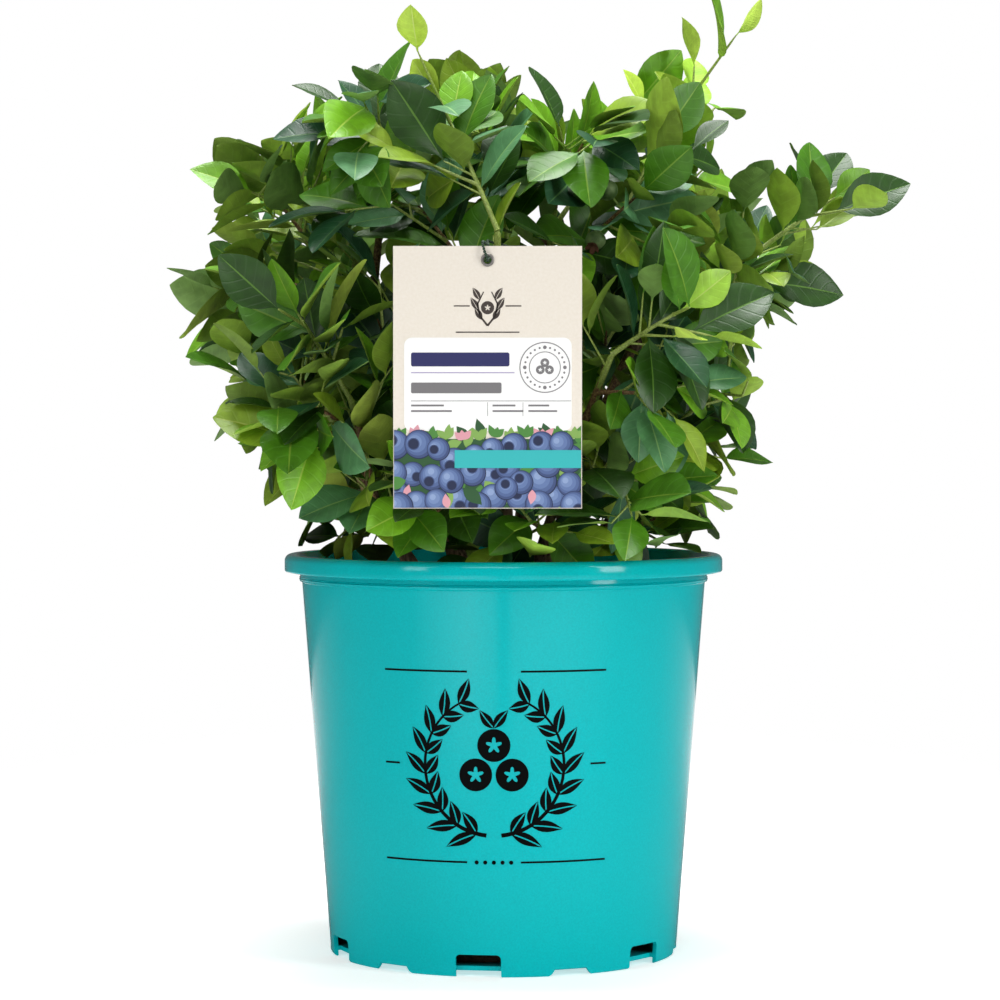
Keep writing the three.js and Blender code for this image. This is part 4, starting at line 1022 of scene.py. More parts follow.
limbs = {}
for name, (foot, tip, bow, thick) in CANES.items():
    foot = np.array([*foot, MIX_TOP + CLEARANCE], float)
    tip = np.array(tip, float)
    middle = (foot + tip) / 2 - bow * (tip - foot) * (1, 1, 0)
    limbs[name] = new_limb(foot, middle, tip, thick, thick * CANE_TAPER)
    rings = prism(limbs[name], CANE_SIDES, CANE_STEPS, CANE_FLARE, True)
    limbs[name]["surface"] = prism_faces(limbs[name], rings)
for name, (parent, share, tip, thick) in BOUGHS.items():
    ends = (thick, thick * BOUGH_TAPER, BOUGH_SIDES)
    limbs[name] = branch(limbs[parent], share, tip, BOUGH_ARCH, *ends)
    rings = prism(limbs[name], BOUGH_SIDES, BOUGH_STEPS)
    limbs[name]["surface"] = prism_faces(limbs[name], rings)
print("limbs:", ", ".join(limbs))

# %% [markdown]
# ## The cord that holds the tag
#
# A loop of thin twisted twine goes through the eyelet, over the card's edge and round a stem. A
# curve with a round bevel would give a plain wire. Two plies wound round each other give the
# twist that makes it read as twine, so each ply is its own tube, half a turn from the other.

# %% The route of the cord, and its two plies
TIE_RADIUS, TIE_TURN, TIE_STEPS = 0.8, 3.2, 420  # TIE_TURN is the length of one twist
PLY_OFF, PLY_RADIUS, PLY_SIDES = 0.45 * TIE_RADIUS, 0.52 * TIE_RADIUS, 8


def tie_corners():
    """The points that the loop passes through."""
    x, y = TAG_CENTRE[:2]
    hole = TAG_CENTRE[2] + TAG_HEIGHT / 2 - EYELET_DROP
    top = TAG_CENTRE[2] + TAG_HEIGHT / 2
    stem = point_on(limbs["cane_front"], 0.97)
    behind = stem[1] + limbs["cane_front"]["tip_radius"] + 2.6
    return np.array([
        (x, y - 2.6, hole + 0.4),
        (x - 1.6, y - 2.4, top - 2.6),
        (x - 2.6, y, top + 1.8),
        (stem[0] - 4.8, (y + stem[1]) / 2, top + 1.6),
        (stem[0] - 4.6, stem[1] + 0.4, stem[2] + 0.8),
        (stem[0], behind, stem[2] - 0.6),
        (stem[0] + 4.6, stem[1] + 0.4, stem[2] - 2),
        (x + 2.4, (y + stem[1]) / 2, (hole + stem[2]) / 2 - 2),
        (x, y + 4, hole),
        (x, y, hole),
    ])


TIE_CORNERS = tie_corners()


def tie_point(share):
    """A point of the smooth closed curve through the corners."""
    count = len(TIE_CORNERS)
    place = share * count
    first = int(place)
    weight = place - first
    p0, p1, p2, p3 = (TIE_CORNERS[(first + k) % count] for k in (-1, 0, 1, 2))
    t0, t1, t2 = (np.linalg.norm(b - a) ** 0.5 for a, b in ((p0, p1), (p1, p2), (p2, p3)))
    start = ((p1 - p0) / t0 - (p2 - p0) / (t0 + t1) + (p2 - p1) / t1) * t1
    end = ((p2 - p1) / t1 - (p3 - p1) / (t1 + t2) + (p3 - p2) / t2) * t1
    curve = p1 + start * weight + (3 * (p2 - p1) - 2 * start - end) * weight**2
    return curve + (2 * (p1 - p2) + start + end) * weight**3


def ply(half_turn):
    """One ply: a thin tube that winds round the route, and the material of its faces."""
    route = np.array([tie_point(i / TIE_STEPS) for i in range(TIE_STEPS)])
    along = np.roll(route, -1, axis=0) - np.roll(route, 1, axis=0)
    along /= np.linalg.norm(along, axis=1)[:, None]
    run = np.concatenate([[0], np.cumsum(np.linalg.norm(np.diff(route, axis=0), axis=1))])
    total = run[-1] + np.linalg.norm(route[0] - route[-1])
    twists = round(total / TIE_TURN)
    guide = np.array([0.3, 0.2, 0.93])
    points = []
    for p, a, r in zip(route, along, run):
        level = unit(np.cross(a, guide))
        other = np.cross(level, a)
        wind = 2 * math.pi * (twists * r / total + half_turn)
        middle = p + (level * math.cos(wind) + other * math.sin(wind)) * PLY_OFF
        for k in range(PLY_SIDES):
            turn = 2 * math.pi * k / PLY_SIDES
            points.append(middle + (level * math.cos(turn) + other * math.sin(turn)) * PLY_RADIUS)
    faces = grid_faces(TIE_STEPS, PLY_SIDES, closed=True)
    last = (TIE_STEPS - 1) * PLY_SIDES
    nexts = [(k + 1) % PLY_SIDES for k in range(PLY_SIDES)]
    faces += [(last + k, last + n, n, k) for k, n in enumerate(nexts)]
    return points, faces, [0] * len(faces)


# Waxed polyester twine: dark green, with a dull sheen and fine fibres across each ply.
made = new_material("waxed_green_twine", "#24402B", Roughness=0.6, Sheen_Weight=0.2)
twine = cloudy(made, 0.3, 3, relief=(0.4, 0.05))
points, faces, which = joined([ply(0), ply(0.5)])
piece("twisted_tie", points, faces, [twine], which, sharp=60, slot="tie", replaces=["tag_tie"])
route = [tie_point(i / TIE_STEPS) for i in range(TIE_STEPS + 1)]
print(f"the cord is {sum(map(math.dist, route, route[1:])):.0f} mm long")

# %% [markdown]
# ## What stands where
#
# Every limb, twig and leaf that has grown is kept in one list, with its corners, edges and faces,
# its thickness and its owner. The pot, the tag and its tie are in the list too, or are ruled out
# by a few plain tests, so that no leaf covers the tag or passes through the rim.

# %% The room that each thing takes
TWIG_RADIUS, TWIG_TIP, TWIG_SIDES, LEADER_ARCH, LEADER_BARE = 2.2, 1.3, 3, 0.03, 0.3
SIDE_RADIUS, SIDE_TWIG, SIDE_MOST, SIDE_BARE = 0.9, 48, 0.7, 0.24
SIDE_FROM, SIDE_SPREAD, SIDE_ANGLE, SIDE_LIFT = 0.32, 0.5, 54, 0.2
PLACE_VARIES, SIDE_SHORTENS, SIDE_VARIES = 0.3, (1.15, 0.8), (0.8, 1.1)
PLACE_DRAW, TURN_DRAW, LENGTH_DRAW = 10, 20, 30  # which draws of a mass's chance set its twigs
GOLDEN_ANGLE = 137.508
TRIES, TWIG_ROOM = 3, 2.5
CHUNKS = 6  # the room of a limb is kept in this many pieces
TWIG_ROOM_FROM = 0.1  # the foot of a side twig is in its leader, so it is left out of its room
LEADER_FOOT = 0.2  # the foot of a leader has an owner of its own, which side twigs keep clear of


def gathered(kind, things, gap):
    """The edges, faces or points of some things, and how far to stay away from each of them."""
    rooms = [np.full(len(o[kind]), gap + o["radius"]) for o in things]
    return np.concatenate([o[kind] for o in things]), np.concatenate(rooms)


class Standing:
    """All that has grown so far, and the test of whether something new has room."""

    def __init__(self):
        self.things = []
        self.owners = []
        self.centres = np.zeros((0, 3))
        self.sizes = np.zeros(0)

    def add(self, thing):
        self.things.append(thing)
        self.owners.append(thing["owner"])
        self.centres = np.vstack([self.centres, thing["centre"]])
        self.sizes = np.append(self.sizes, thing["ball"] + thing["radius"])

    def near(self, thing, gap):
        apart = np.linalg.norm(self.centres - thing["centre"], axis=1)
        reach = self.sizes + thing["ball"] + thing["radius"] + gap
        return [self.things[i] for i in np.nonzero(apart <= reach)[0]]

    def has_room(self, thing, gap, but=(), only=None):
        """Whether a thing stays a gap clear of all others, or only of one owner's."""
        near = [o for o in self.near(thing, gap) if o["owner"] not in but]
        if only is not None:
            near = [o for o in near if o["owner"] == only]
        if not near:
            return True
        edges, edge_room = gathered("edges", near, gap + thing["radius"])
        if np.any(edges_apart(thing["edges"], edges) < edge_room):
            return False
        faces, face_room = gathered("faces", near, gap + thing["radius"])
        if len(faces):
            if any_through(thing["edges"], faces):
                return False
            if np.any(corners_apart(thing["points"], faces) < face_room):
                return False
        if len(thing["faces"]):
            points, point_room = gathered("points", near, gap + thing["radius"])
            if any_through(edges, thing["faces"]):
                return False
            if np.any(corners_apart(points, thing["faces"]) < point_room[:, None]):
                return False
        return True


def room(points, edges, faces, radius, owner):
    """What a thing takes up: its corners, edges and faces, its thickness and its owner."""
    points = np.asarray(points, float)
    low, high = points.min(axis=0), points.max(axis=0)
    return {
        "points": points,
        "edges": points[np.array(edges, int).reshape(-1, 2)],
        "faces": points[np.array(faces, int).reshape(-1, 3)],
        "radius": radius,
        "owner": owner,
        "centre": (low + high) / 2,
        "ball": np.linalg.norm(high - low) / 2,
    }


def room_along(limb, start, end, steps, owner):
    points = [point_on(limb, mix(start, end, i / steps)) for i in range(steps + 1)]
    radius = mix(limb["foot_radius"], limb["tip_radius"], (start + end) / 2)
    return room(points, [(i, i + 1) for i in range(steps)], [], radius, owner)


def in_the_open(points):
    """Nothing grows into the pot's wall or the mix, or in front of the tag."""
    x, y, z = points.T
    out = np.hypot(x, y)
    in_wall = (z < POT_HEIGHT + 2) & (out > NECK_RADIUS - 6)
    across = np.abs(x - TAG_CENTRE[0]) < TAG_WIDTH / 2 + 3
    level = np.abs(z - TAG_CENTRE[2]) < TAG_HEIGHT / 2 + 3
    on_tag = across & level & (y < TAG_CENTRE[1] + 3)
    return not np.any(in_wall | (z < MIX_TOP + 2) | on_tag)


standing = Standing()
for name, limb in limbs.items():
    for i in range(CHUNKS):
        standing.add(room_along(limb, i / CHUNKS, (i + 1) / CHUNKS, 2, name))
half_wide, half_high = TAG_WIDTH / 2, TAG_HEIGHT / 2
tag_corners = [
    (TAG_CENTRE[0] + a * half_wide, TAG_CENTRE[1], TAG_CENTRE[2] + b * half_high)
    for a, b in ((-1, -1), (1, -1), (1, 1), (-1, 1))
]
tag_edges = [(0, 1), (1, 2), (2, 3), (3, 0)]
standing.add(room(tag_corners, tag_edges, [(0, 1, 2), (0, 2, 3)], 2, "tag"))
tie_points = [tie_point(i / 20) for i in range(21)]
standing.add(room(tie_points, [(i, i + 1) for i in range(20)], [], 1, "tie"))
print(len(standing.things), "things stand before the first twig")

# %% [markdown]
# ## Masses of foliage
#
# A mass is one leading twig with its side twigs and their leaves. Each row below says which limb
# it leaves and where, the tip of its leader, the number of side twigs, how long its leaves are,
# and how young its tips are. The tips are what give the crown its outline.

# %% The masses, and their twigs
MASSES = {
    # the limb, where along it, the leader's tip, side twigs, leaf length, youth
    "left_arm_high": ("bough_left_arm", 1, (-124, -44, 412), 3, 54, 0.2),
    "left_tip_pale": ("bough_left_arm", 0.85, (-142, 22, 424), 2, 42, 0.8),
    "left_arm_mid": ("bough_left_arm", 0.5, (-134, -10, 370), 3, 50, 0.3),
    "left_mid": ("cane_left_low", 1, (-132, -16, 330), 3, 48, 0.3),
    "left_low": ("cane_left_low", 0.8, (-126, -40, 300), 3, 50, 0.2),
    "left_skirt": ("cane_left_low", 0.5, (-104, -12, 262), 3, 46, 0.2),
    "left_rim": ("cane_left_low", 0.28, (-84, -2, 238), 3, 44, 0.3),
    "front_left_high": ("bough_front_left", 1, (-106, -112, 346), 3, 48, 0.6),
    "front_left": ("bough_front_left", 0.6, (-100, -106, 300), 3, 50, 0.4),
    "front_left_low": ("cane_left_low", 0.42, (-72, -98, 262), 3, 48, 0.2),
    "top_left": ("cane_left", 1, (-84, -30, 446), 3, 48, 0.8),
    "front_shoot": ("cane_front", 1, (-32, -104, 454), 3, 50, 0.8),
    "top_mid_left": ("cane_top", 0.9, (-30, 26, 448), 3, 50, 0.3),
    "top_centre": ("cane_top", 1, (46, -44, 446), 3, 58, 0.1),
    "top_leader": ("cane_right", 1, (104, -8, 484), 3, 46, 0.9),
    "top_pale": ("cane_top", 0.94, (66, 16, 448), 3, 44, 0.9),
    "right_arm_high": ("bough_right_arm", 1, (180, -16, 412), 3, 48, 0.6),
    "right_arm_mid": ("bough_right_arm", 0.5, (130, -36, 356), 3, 46, 0.2),
    "right_mid": ("cane_right_low", 1, (124, -60, 316), 3, 44, 0.5),
    "right_low": ("cane_right_low", 0.78, (114, -30, 288), 3, 48, 0.2),
    "right_skirt": ("cane_right_low", 0.52, (100, -2, 262), 3, 46, 0.4),
    "right_rim": ("cane_right_low", 0.3, (84, -54, 240), 3, 44, 0.2),
    "front_right_high": ("cane_front_right", 1, (92, -118, 348), 3, 50, 0.6),
    "front_right": ("cane_front_right", 0.85, (80, -112, 304), 3, 50, 0.2),
    "front_right_low": ("cane_front_right", 0.5, (64, -106, 262), 3, 48, 0.3),
    "front_low": ("cane_front_right", 0.28, (14, -102, 238), 3, 46, 0.4),
    "front_top": ("cane_top", 0.8, (72, -84, 410), 3, 52, 0.1),
    "front_top_left": ("bough_top_left", 1, (-56, -92, 436), 3, 52, 0.4),
    "centre_left": ("cane_left", 0.5, (-66, -82, 344), 3, 52, 0.1),
    "centre_right": ("cane_right", 0.5, (54, -82, 338), 3, 52, 0.1),
    "front_low_left": ("cane_front", 0.34, (-40, -98, 240), 3, 44, 0.4),
    "centre_top": ("cane_front", 0.8, (-48, -62, 408), 3, 50, 0.1),
    "back_left_high": ("cane_back_left", 1, (-92, 96, 410), 3, 48, 0.4),
    "back_left": ("cane_back_left", 0.85, (-130, 74, 340), 3, 48, 0.3),
    "back_left_low": ("cane_back_left", 0.5, (-92, 96, 266), 3, 46, 0.3),
    "back_high": ("cane_back", 1, (0, 112, 446), 3, 48, 0.5),
    "back_mid": ("cane_back", 0.8, (10, 148, 352), 3, 48, 0.3),
    "back_low": ("cane_back", 0.45, (0, 124, 268), 3, 46, 0.3),
    "back_right_high": ("cane_back_right", 1, (98, 96, 408), 3, 48, 0.4),
    "back_right": ("cane_back_right", 0.85, (140, 68, 340), 3, 48, 0.3),
    "back_right_low": ("cane_back_right", 0.5, (94, 92, 266), 3, 46, 0.3),
}
BERRIES = {"front_top": (0.6, 0.8), "right_arm_mid": (0.6,)}


def side_twig(leader, share, turn, length, angle=SIDE_ANGLE, radius=SIDE_RADIUS):
    start = point_on(leader, share)
    way = leaving(way_along(leader, share), math.radians(angle), turn)
    way = unit(way + UP * SIDE_LIFT)
    end = start + way * length
    twig = new_limb(start, (start + end) / 2, end, radius, radius)
    twig.update(bare=SIDE_BARE, length=length, on=leader["name"], share=share)
    return twig


def line_length(limb, chords=200):
    points = np.array([point_on(limb, i / chords) for i in range(chords + 1)])
    return float(np.linalg.norm(np.diff(points, axis=0), axis=1).sum())


def mass_twigs(mass, seed):
    """The leading twig of a mass, and the side twigs that have room."""
    on, at, tip, twigs, _, _ = MASSES[mass]
    leader = branch(limbs[on], at, tip, LEADER_ARCH, TWIG_RADIUS, TWIG_TIP, TWIG_SIDES)
    leader.update(bare=LEADER_BARE, length=line_length(leader), name=f"{mass}/0")
    standing.add(room_along(leader, 0, LEADER_FOOT, 2, leader["name"] + "/foot"))
    standing.add(room_along(leader, LEADER_FOOT, 1, 5, leader["name"]))
    grown = [leader]
    for i in range(twigs):
        place = (i + PLACE_VARIES * chance(seed, PLACE_DRAW + i)) / max(1, twigs - 1)
        share = SIDE_FROM + SIDE_SPREAD * place
        most = min(SIDE_TWIG * mix(*SIDE_SHORTENS, i / twigs), SIDE_MOST * leader["length"])
        length = most * mix(*SIDE_VARIES, chance(seed, LENGTH_DRAW + i))
        first_turn = 2 * math.pi * chance(seed, TURN_DRAW + i)
        for attempt in range(TRIES):
            turn = math.radians(GOLDEN_ANGLE) * (i + attempt) + first_turn
            twig = side_twig(leader, share, turn, length)
            twig["name"] = f"{mass}/{i + 1}"
            taken = room_along(twig, TWIG_ROOM_FROM, 1, 3, twig["name"])
            if in_the_open(taken["points"]) and standing.has_room(taken, TWIG_ROOM, (leader["name"],)):
                standing.add(taken)
                grown.append(twig)
                break
    return grown


twigs_of = {mass: mass_twigs(mass, seed) for seed, mass in enumerate(MASSES, 1)}
print(len(MASSES), "masses,", sum(len(twigs) for twigs in twigs_of.values()), "twigs")

# %% [markdown]
# ## Leaves along a twig
#
# Blueberry leaves stand singly, each turned about 137 degrees round the twig from the last one,
# which lets every leaf see the light. Lower leaves open wide and the last one follows the twig.
# A leaf turns its face up and outwards, its edges rise a little from the midrib, and its tip
# bends back. A leaf that would touch another is turned further round the twig, up to three
# times, and left out if that doesn't help.

# %% The leaves that the solids have
LEAF_GAP, FEWEST_LEAVES, MOST_LEAVES = 14, 2, 6
TIP_ANGLE, LOW_ANGLE, ANGLE_CLOSES, ANGLE_VARIES = 14, 62, 34, 16
LEAF_ROLL, LEAF_LIFT, LEAF_WIDTH, LEAF_FOOT, LEAF_FOLD = 80, 0.1, 0.52, 0.18, 0.2
LEAF_VARIES, LEAF_DROOP = (0.85, 1.15), (0.06, 0.2)
LEAF_FACING = (0.35, 0.5, 0.7)  # shares of: along the twig, up, and outwards
YOUNG_SHRINKS, TRY_TURN, TRY_SHRINKS = 0.3, 2.1, 0.12
LEAF_ROOM, SISTER_ROOM, SAME_SPACE = 1.5, 0.3, 18
BORDER_SHARES = (0.4, 0.6, 0.8, 1)
OUTLINE_SIDES = 6
LEAF_SWELL, SWELL_AHEAD = (0.72, 0.28), (1.1, 0.15)  # the longest leaves are below a twig's middle
TWIG_DRAWS, LEAF_DRAWS, PHASE_DRAW, KIND_DRAWS = 100, 50, 40, 1000
PHASE_VARIES, YOUTH_FROM = 0.5, 0.5
LEAF_EDGES = []
LEAF_FACES = []
for i in range(OUTLINE_SIDES):
    LEAF_EDGES += [(i, (i + 1) % OUTLINE_SIDES), (i, OUTLINE_SIDES)]
    LEAF_FACES.append((i, (i + 1) % OUTLINE_SIDES, OUTLINE_SIDES))


def on_leaf(leaf, share, side):
    """Points of a leaf's surface: share runs along the midrib and side across it, -1 to 1."""
    share, side = np.asarray(share, float)[..., None], np.asarray(side, float)[..., None]
    half = leaf["length"] * LEAF_WIDTH * 0.5
    rise = np.abs(side) * half * LEAF_FOLD - leaf["droop"] * share**2 * leaf["length"]
    across = np.cross(leaf["way"], leaf["face"])
    return leaf["root"] + leaf["way"] * share * leaf["length"] + across * side * half + leaf["face"] * rise


def leaf_room(leaf, owner):
    """A leaf as six faces round the foot of its midrib."""
    turns = 2 * np.pi * np.arange(OUTLINE_SIDES) / OUTLINE_SIDES
    outline = on_leaf(leaf, (1 + np.cos(turns)) / 2, np.sin(turns))
    points = np.vstack([outline, on_leaf(leaf, LEAF_FOOT, 0)])
    return room(points, LEAF_EDGES, LEAF_FACES, 0, owner)


def leaf_count(twig):
    fitting = math.floor(twig["length"] * (1 - twig["bare"]) / LEAF_GAP + 0.5)
    return min(MOST_LEAVES, max(FEWEST_LEAVES, fitting))


def twig_leaf(twig, order, seed, i, attempt, size, young, count, facing=LEAF_FACING):
    """One leaf of a twig, counted from its tip. Each attempt turns it further round the twig."""

    def draw(number):
        return chance(seed, TWIG_DRAWS * order + LEAF_DRAWS + i + KIND_DRAWS * number)

    up = 1 - i / count
    share = mix(twig["bare"], 1, up)
    root, along = point_on(twig, share), way_along(twig, share)
    phase = 2 * math.pi * chance(seed, TWIG_DRAWS * order + PHASE_DRAW)
    phase += math.radians(GOLDEN_ANGLE) * i
    turn = phase + PHASE_VARIES * (draw(0) - 0.5) + TRY_TURN * attempt
    open_angle = LOW_ANGLE - ANGLE_CLOSES * up + ANGLE_VARIES * (draw(1) - 0.5)
    angle = math.radians(open_angle if i else TIP_ANGLE)
    way = unit(leaving(along, angle, turn) + UP * LEAF_LIFT)
    outward = unit(root * (1, 1, 0))
    face = along * facing[0] + UP * facing[1] + outward * facing[2]
    face = unit(face - way * dot(face, way))
    roll = math.radians(LEAF_ROLL) * (draw(2) - 0.5)
    face = face * math.cos(roll) + np.cross(way, face) * math.sin(roll)
    youth = young * max(0, (up - YOUTH_FROM) / (1 - YOUTH_FROM))
    swell = math.sin(math.pi * min(1, SWELL_AHEAD[0] * up + SWELL_AHEAD[1]))
    swell = LEAF_SWELL[0] + LEAF_SWELL[1] * swell
    shrunk = (1 - YOUNG_SHRINKS * youth) * (1 - TRY_SHRINKS * attempt)
    length = size * swell * mix(*LEAF_VARIES, draw(3)) * shrunk
    droop = mix(*LEAF_DROOP, draw(4))
    grown = {"root": root, "way": way, "face": face, "length": length, "droop": droop}
    grown.update(youth=youth, on=twig["name"], share=share)
    return grown


def in_own_space(middle, mass):
    """Whether a leaf's middle is nearer its own mass's leader than any other's."""
    own = np.linalg.norm(borders[mass] - middle, axis=1).min()
    others = min(np.linalg.norm(p - middle, axis=1).min() for m, p in borders.items() if m != mass)
    return own < others + SAME_SPACE


def leaf_stands(leaf, mass, twig_name):
    """Whether a leaf has room where it grows; a leaf that has is noted as standing."""
    taken = leaf_room(leaf, "leaf of " + mass)
    if not in_the_open(taken["points"]) or not in_own_space(taken["centre"], mass):
        return False
    if not standing.has_room(taken, LEAF_ROOM, (twig_name, taken["owner"])):
        return False
    if not standing.has_room(taken, SISTER_ROOM, only=taken["owner"]):
        return False
    standing.add(taken)
    return True


borders = {
    mass: np.array([point_on(twigs[0], share) for share in BORDER_SHARES])
    for mass, twigs in twigs_of.items()
}
leaves_of = {mass: [] for mass in MASSES}
for seed, mass in enumerate(MASSES, 1):
    size, young = MASSES[mass][4:]
    for order, twig in enumerate(twigs_of[mass]):
        count = leaf_count(twig)
        for i in range(count + 1):
            for attempt in range(TRIES):
                leaf = twig_leaf(twig, order, seed, i, attempt, size, young, count)
                if leaf_stands(leaf, mass, twig["name"]):
                    leaf.update(spray=(mass, order))
                    leaves_of[mass].append(leaf)
                    break
print(sum(len(leaves) for leaves in leaves_of.values()), "leaves by the rule of the solids")

# %% [markdown]
# ## Bark
#
# The stems of a blueberry are thin and upright. Old wood is grey-brown and sheds its bark in
# thin strips, so it has long shallow furrows; last year's wood is smoother and red-brown, and
# the newest is green. A plain bent tube would look like wire. Each limb here is a tube of many
# rings whose radius is moved in and out by noise that is stretched along the limb, with a small
# swelling at each old leaf scar and a flare where it leaves the ground.

# %% The skins of the limbs
# Weathered bark: rough and grey-brown, with strips about 2 mm wide along the stem.
made = new_material("shredding_brown_bark", "#6A5341", Roughness=0.88)
place = add_node(made[1], "ShaderNodeTexCoord").outputs["Object"]
along = add_node(made[1], "ShaderNodeMapping", Vector=place, Scale=(1, 1, 0.12)).outputs["Vector"]
strips = {"stops": (0.34, 0.66), "relief": (0.7, 0.4), "Vector": along}
old_bark = cloudy(made, 2, 5, ("#4C3829", "#8E7860"), **strips)

# Last year's wood: red-brown and half smooth, with pale pores about 1 mm apart.
made = new_material("red_brown_young_wood", "#77543A", Roughness=0.62)
year_bark = cloudy(made, 1.1, 3, ("#6B4A33", "#A58A5C"), (0.4, 0.72), relief=(0.4, 0.2))

# This year's shoot: smooth, waxy and yellow-green, with faint darker specks.
made = new_material("waxy_green_shoot", "#94A850", Roughness=0.45)
shoot_bark = cloudy(made, 0.9, 3, ("#7A8E3E", "#A3B65C"), (0.36, 0.6), relief=(0.25, 0.15))
BARKS = [old_bark, year_bark, shoot_bark]
print("barks:", ", ".join(m.name for m in BARKS))

# %% Stems and boughs with relief
RING_STEP, BARK_SIDES = 1.6, 20
RIDGE, RIDGE_FADES, SCAR_STEP, SCAR_SWELL, SCAR_LENGTH, SCAR_TURN = 0.11, 0.35, 23, 0.13, 1.8, 2.4
OLD_UNTIL, YEAR_UNTIL, RAGGED = 0.5, 0.86, 0.07  # shares of a stem's length
BOUGH_AGE = 0.42  # a bough is as old at its foot as a stem is at this share
FLARE_LENGTH, FORK_FLARE, FORK_FLARE_LENGTH, SUNK = 9, 0.35, 4, 2


def tube(path, radii, sides, relief=None):
    """Points and faces of a tube along a path, closed at both ends."""
    path = np.asarray(path, float)
    along = np.gradient(path, axis=0)
    along /= np.linalg.norm(along, axis=1)[:, None]
    level = unit(np.cross(along[0], (0.31, 0.87, 0.38)))
    turns = 2 * np.pi * np.arange(sides) / sides
    points = []
    for i, (middle, way, radius) in enumerate(zip(path, along, radii)):
        level = unit(level - way * dot(level, way))
        other = np.cross(way, level)
        grown = radius * (1 + (relief(i, turns) if relief else np.zeros(sides)))
        out = np.outer(np.cos(turns), level) + np.outer(np.sin(turns), other)
        points.append(middle + grown[:, None] * out)
    points = np.concatenate(points)
    faces = grid_faces(len(path), sides, closed=True)
    last = (len(path) - 1) * sides
    faces.append(tuple(range(sides))[::-1])
    faces.append(tuple(range(last, last + sides)))
    return points, faces


def wavy(seed, count):
    """A table of smooth random values, for relief that repeats nowhere along a limb."""
    draw = np.random.default_rng(seed)
    rough = draw.normal(0, 1, (count, BARK_SIDES))
    for _ in range(3):  # long in the limb's direction, short round it
        rough = (np.roll(rough, 1, axis=0) + rough + np.roll(rough, -1, axis=0)) / 3
    rough = (np.roll(rough, 1, axis=1) + 2 * rough) / 3
    return rough / np.abs(rough).max()


def dress_limb(name, seed):
    """A limb's tube with bark relief; older wood at its foot and green at its tip."""
    limb = limbs[name]
    length = line_length(limb)
    count = max(8, int(length / RING_STEP))
    shares = np.linspace(0, 1, count + 1)
    path = [point_on(limb, s) for s in shares]
    if "root" in limb:
        path = [limb["root"], (limb["root"] + path[0]) / 2] + path
        shares = np.concatenate([[0, 0], shares])
    else:
        path[0] = path[0] - UP * SUNK  # into the mix
    radii = np.array([mix(limb["foot_radius"], limb["tip_radius"], s) for s in shares])
    if "root" in limb:
        radii *= 1 + FORK_FLARE * np.exp(-shares * length / FORK_FLARE_LENGTH)
    else:
        radii *= 1 + (CANE_FLARE - 1) * np.exp(-shares * length / FLARE_LENGTH)
    radii[-1] *= 0.5
    rough = wavy(seed, len(path))

    def relief(i, turns):
        run = shares[i] * length
        nearest = round(run / SCAR_STEP)
        swell = math.exp(-((run - nearest * SCAR_STEP) / SCAR_LENGTH) ** 2)
        side = 0.5 + 0.5 * np.cos(turns - nearest * SCAR_TURN)
        strength = mix(1.0, RIDGE_FADES, shares[i])
        return RIDGE * strength * rough[i] + SCAR_SWELL * swell * side**2

    points, faces = tube(path, radii, BARK_SIDES, relief)
    which = []
    start, slot = (0, "bark") if name in CANES else (BOUGH_AGE, "green_bark")
    for k in range(len(faces)):
        ring = min(len(path) - 2, k // BARK_SIDES)
        age = mix(start, 1, shares[ring]) + RAGGED * rough[ring][k % BARK_SIDES]
        which.append(int(age >= OLD_UNTIL) + int(age >= YEAR_UNTIL))
    return piece("bark_" + name, points, faces, BARKS, which, sharp=50, slot=slot, replaces=[name])


for seed, name in enumerate(limbs):
    dress_limb(name, seed)
print(len(limbs), "limbs have bark")

# %% [markdown]
# ## Where the crown ends
#
# The leaves so far set the outline of the crown. A finer shoot may fill the crown but not outgrow
# it, so a point counts as inside when some earlier leaf, in nearly the same direction, reaches as
# far. Between sprays that stand apart the sky shows, and each such place is kept open by a round
# window. A leaf that would cover a window is left out.

# %% The outline and its open places
CROWN_MIDDLE = np.array([0, 0, 330])
SAME_WAY = math.cos(math.radians(10))
OUTGROWS = 1.05  # a finer shoot may reach this much as far as the leaves that set the outline
BOX_SLACK = 3  # how far a leaf may stand out of the solids' box
BOX_LOW = np.array(cad_box[0]) / MM - BOX_SLACK
BOX_HIGH = np.array(cad_box[1]) / MM + BOX_SLACK
OPEN_SKY = (
    # across, up and radius, as seen by the camera
    (-74, 497, 12), (-14, 500, 11), (-83, 491, 7), (54, 490, 13), (149, 497, 13),
    (157, 467, 19), (127, 438, 10), (117, 442, 5), (130, 485, 7), (188, 458, 20),
    (209, 446, 13), (200, 380, 19), (222, 390, 12), (175, 386, 8), (184, 345, 8),
    (157, 332, 12), (163, 291, 22), (150, 247, 20), (134, 223, 15), (-145, 250, 15),
    (-167, 256, 11), (-183, 351, 7), (-163, 306, 8), (-146, 307, 4), (-174, 395, 8),
    (-130, 458, 13), (-95, 489, 8),
)


def in_the_crown(points):
    """Whether no point leaves the box or covers an open place, as the camera sees it."""
    nearer = CAMERA_BACK / (CAMERA_BACK + points[:, 1])
    across = points[:, 0] * nearer
    up = CAMERA_HEIGHT + (points[:, 2] - CAMERA_HEIGHT) * nearer
    if any(np.any(np.hypot(across - x, up - z) < radius) for x, z, radius in OPEN_SKY):
        return False
    return np.all(points >= BOX_LOW) and np.all(points <= BOX_HIGH)


def spokes(points):
    """Directions and distances of points, seen from the middle of the crown."""
    away = points - CROWN_MIDDLE
    far = np.linalg.norm(away, axis=1)
    return away / far[:, None], far


for mass, leaves in leaves_of.items():
    leaves_of[mass] = [leaf for leaf in leaves if in_the_crown(leaf_room(leaf, mass)["points"])]
CROWN_WAYS, CROWN_REACH = spokes(
    np.concatenate([leaf_room(leaf, mass)["points"] for mass in MASSES for leaf in leaves_of[mass]])
)


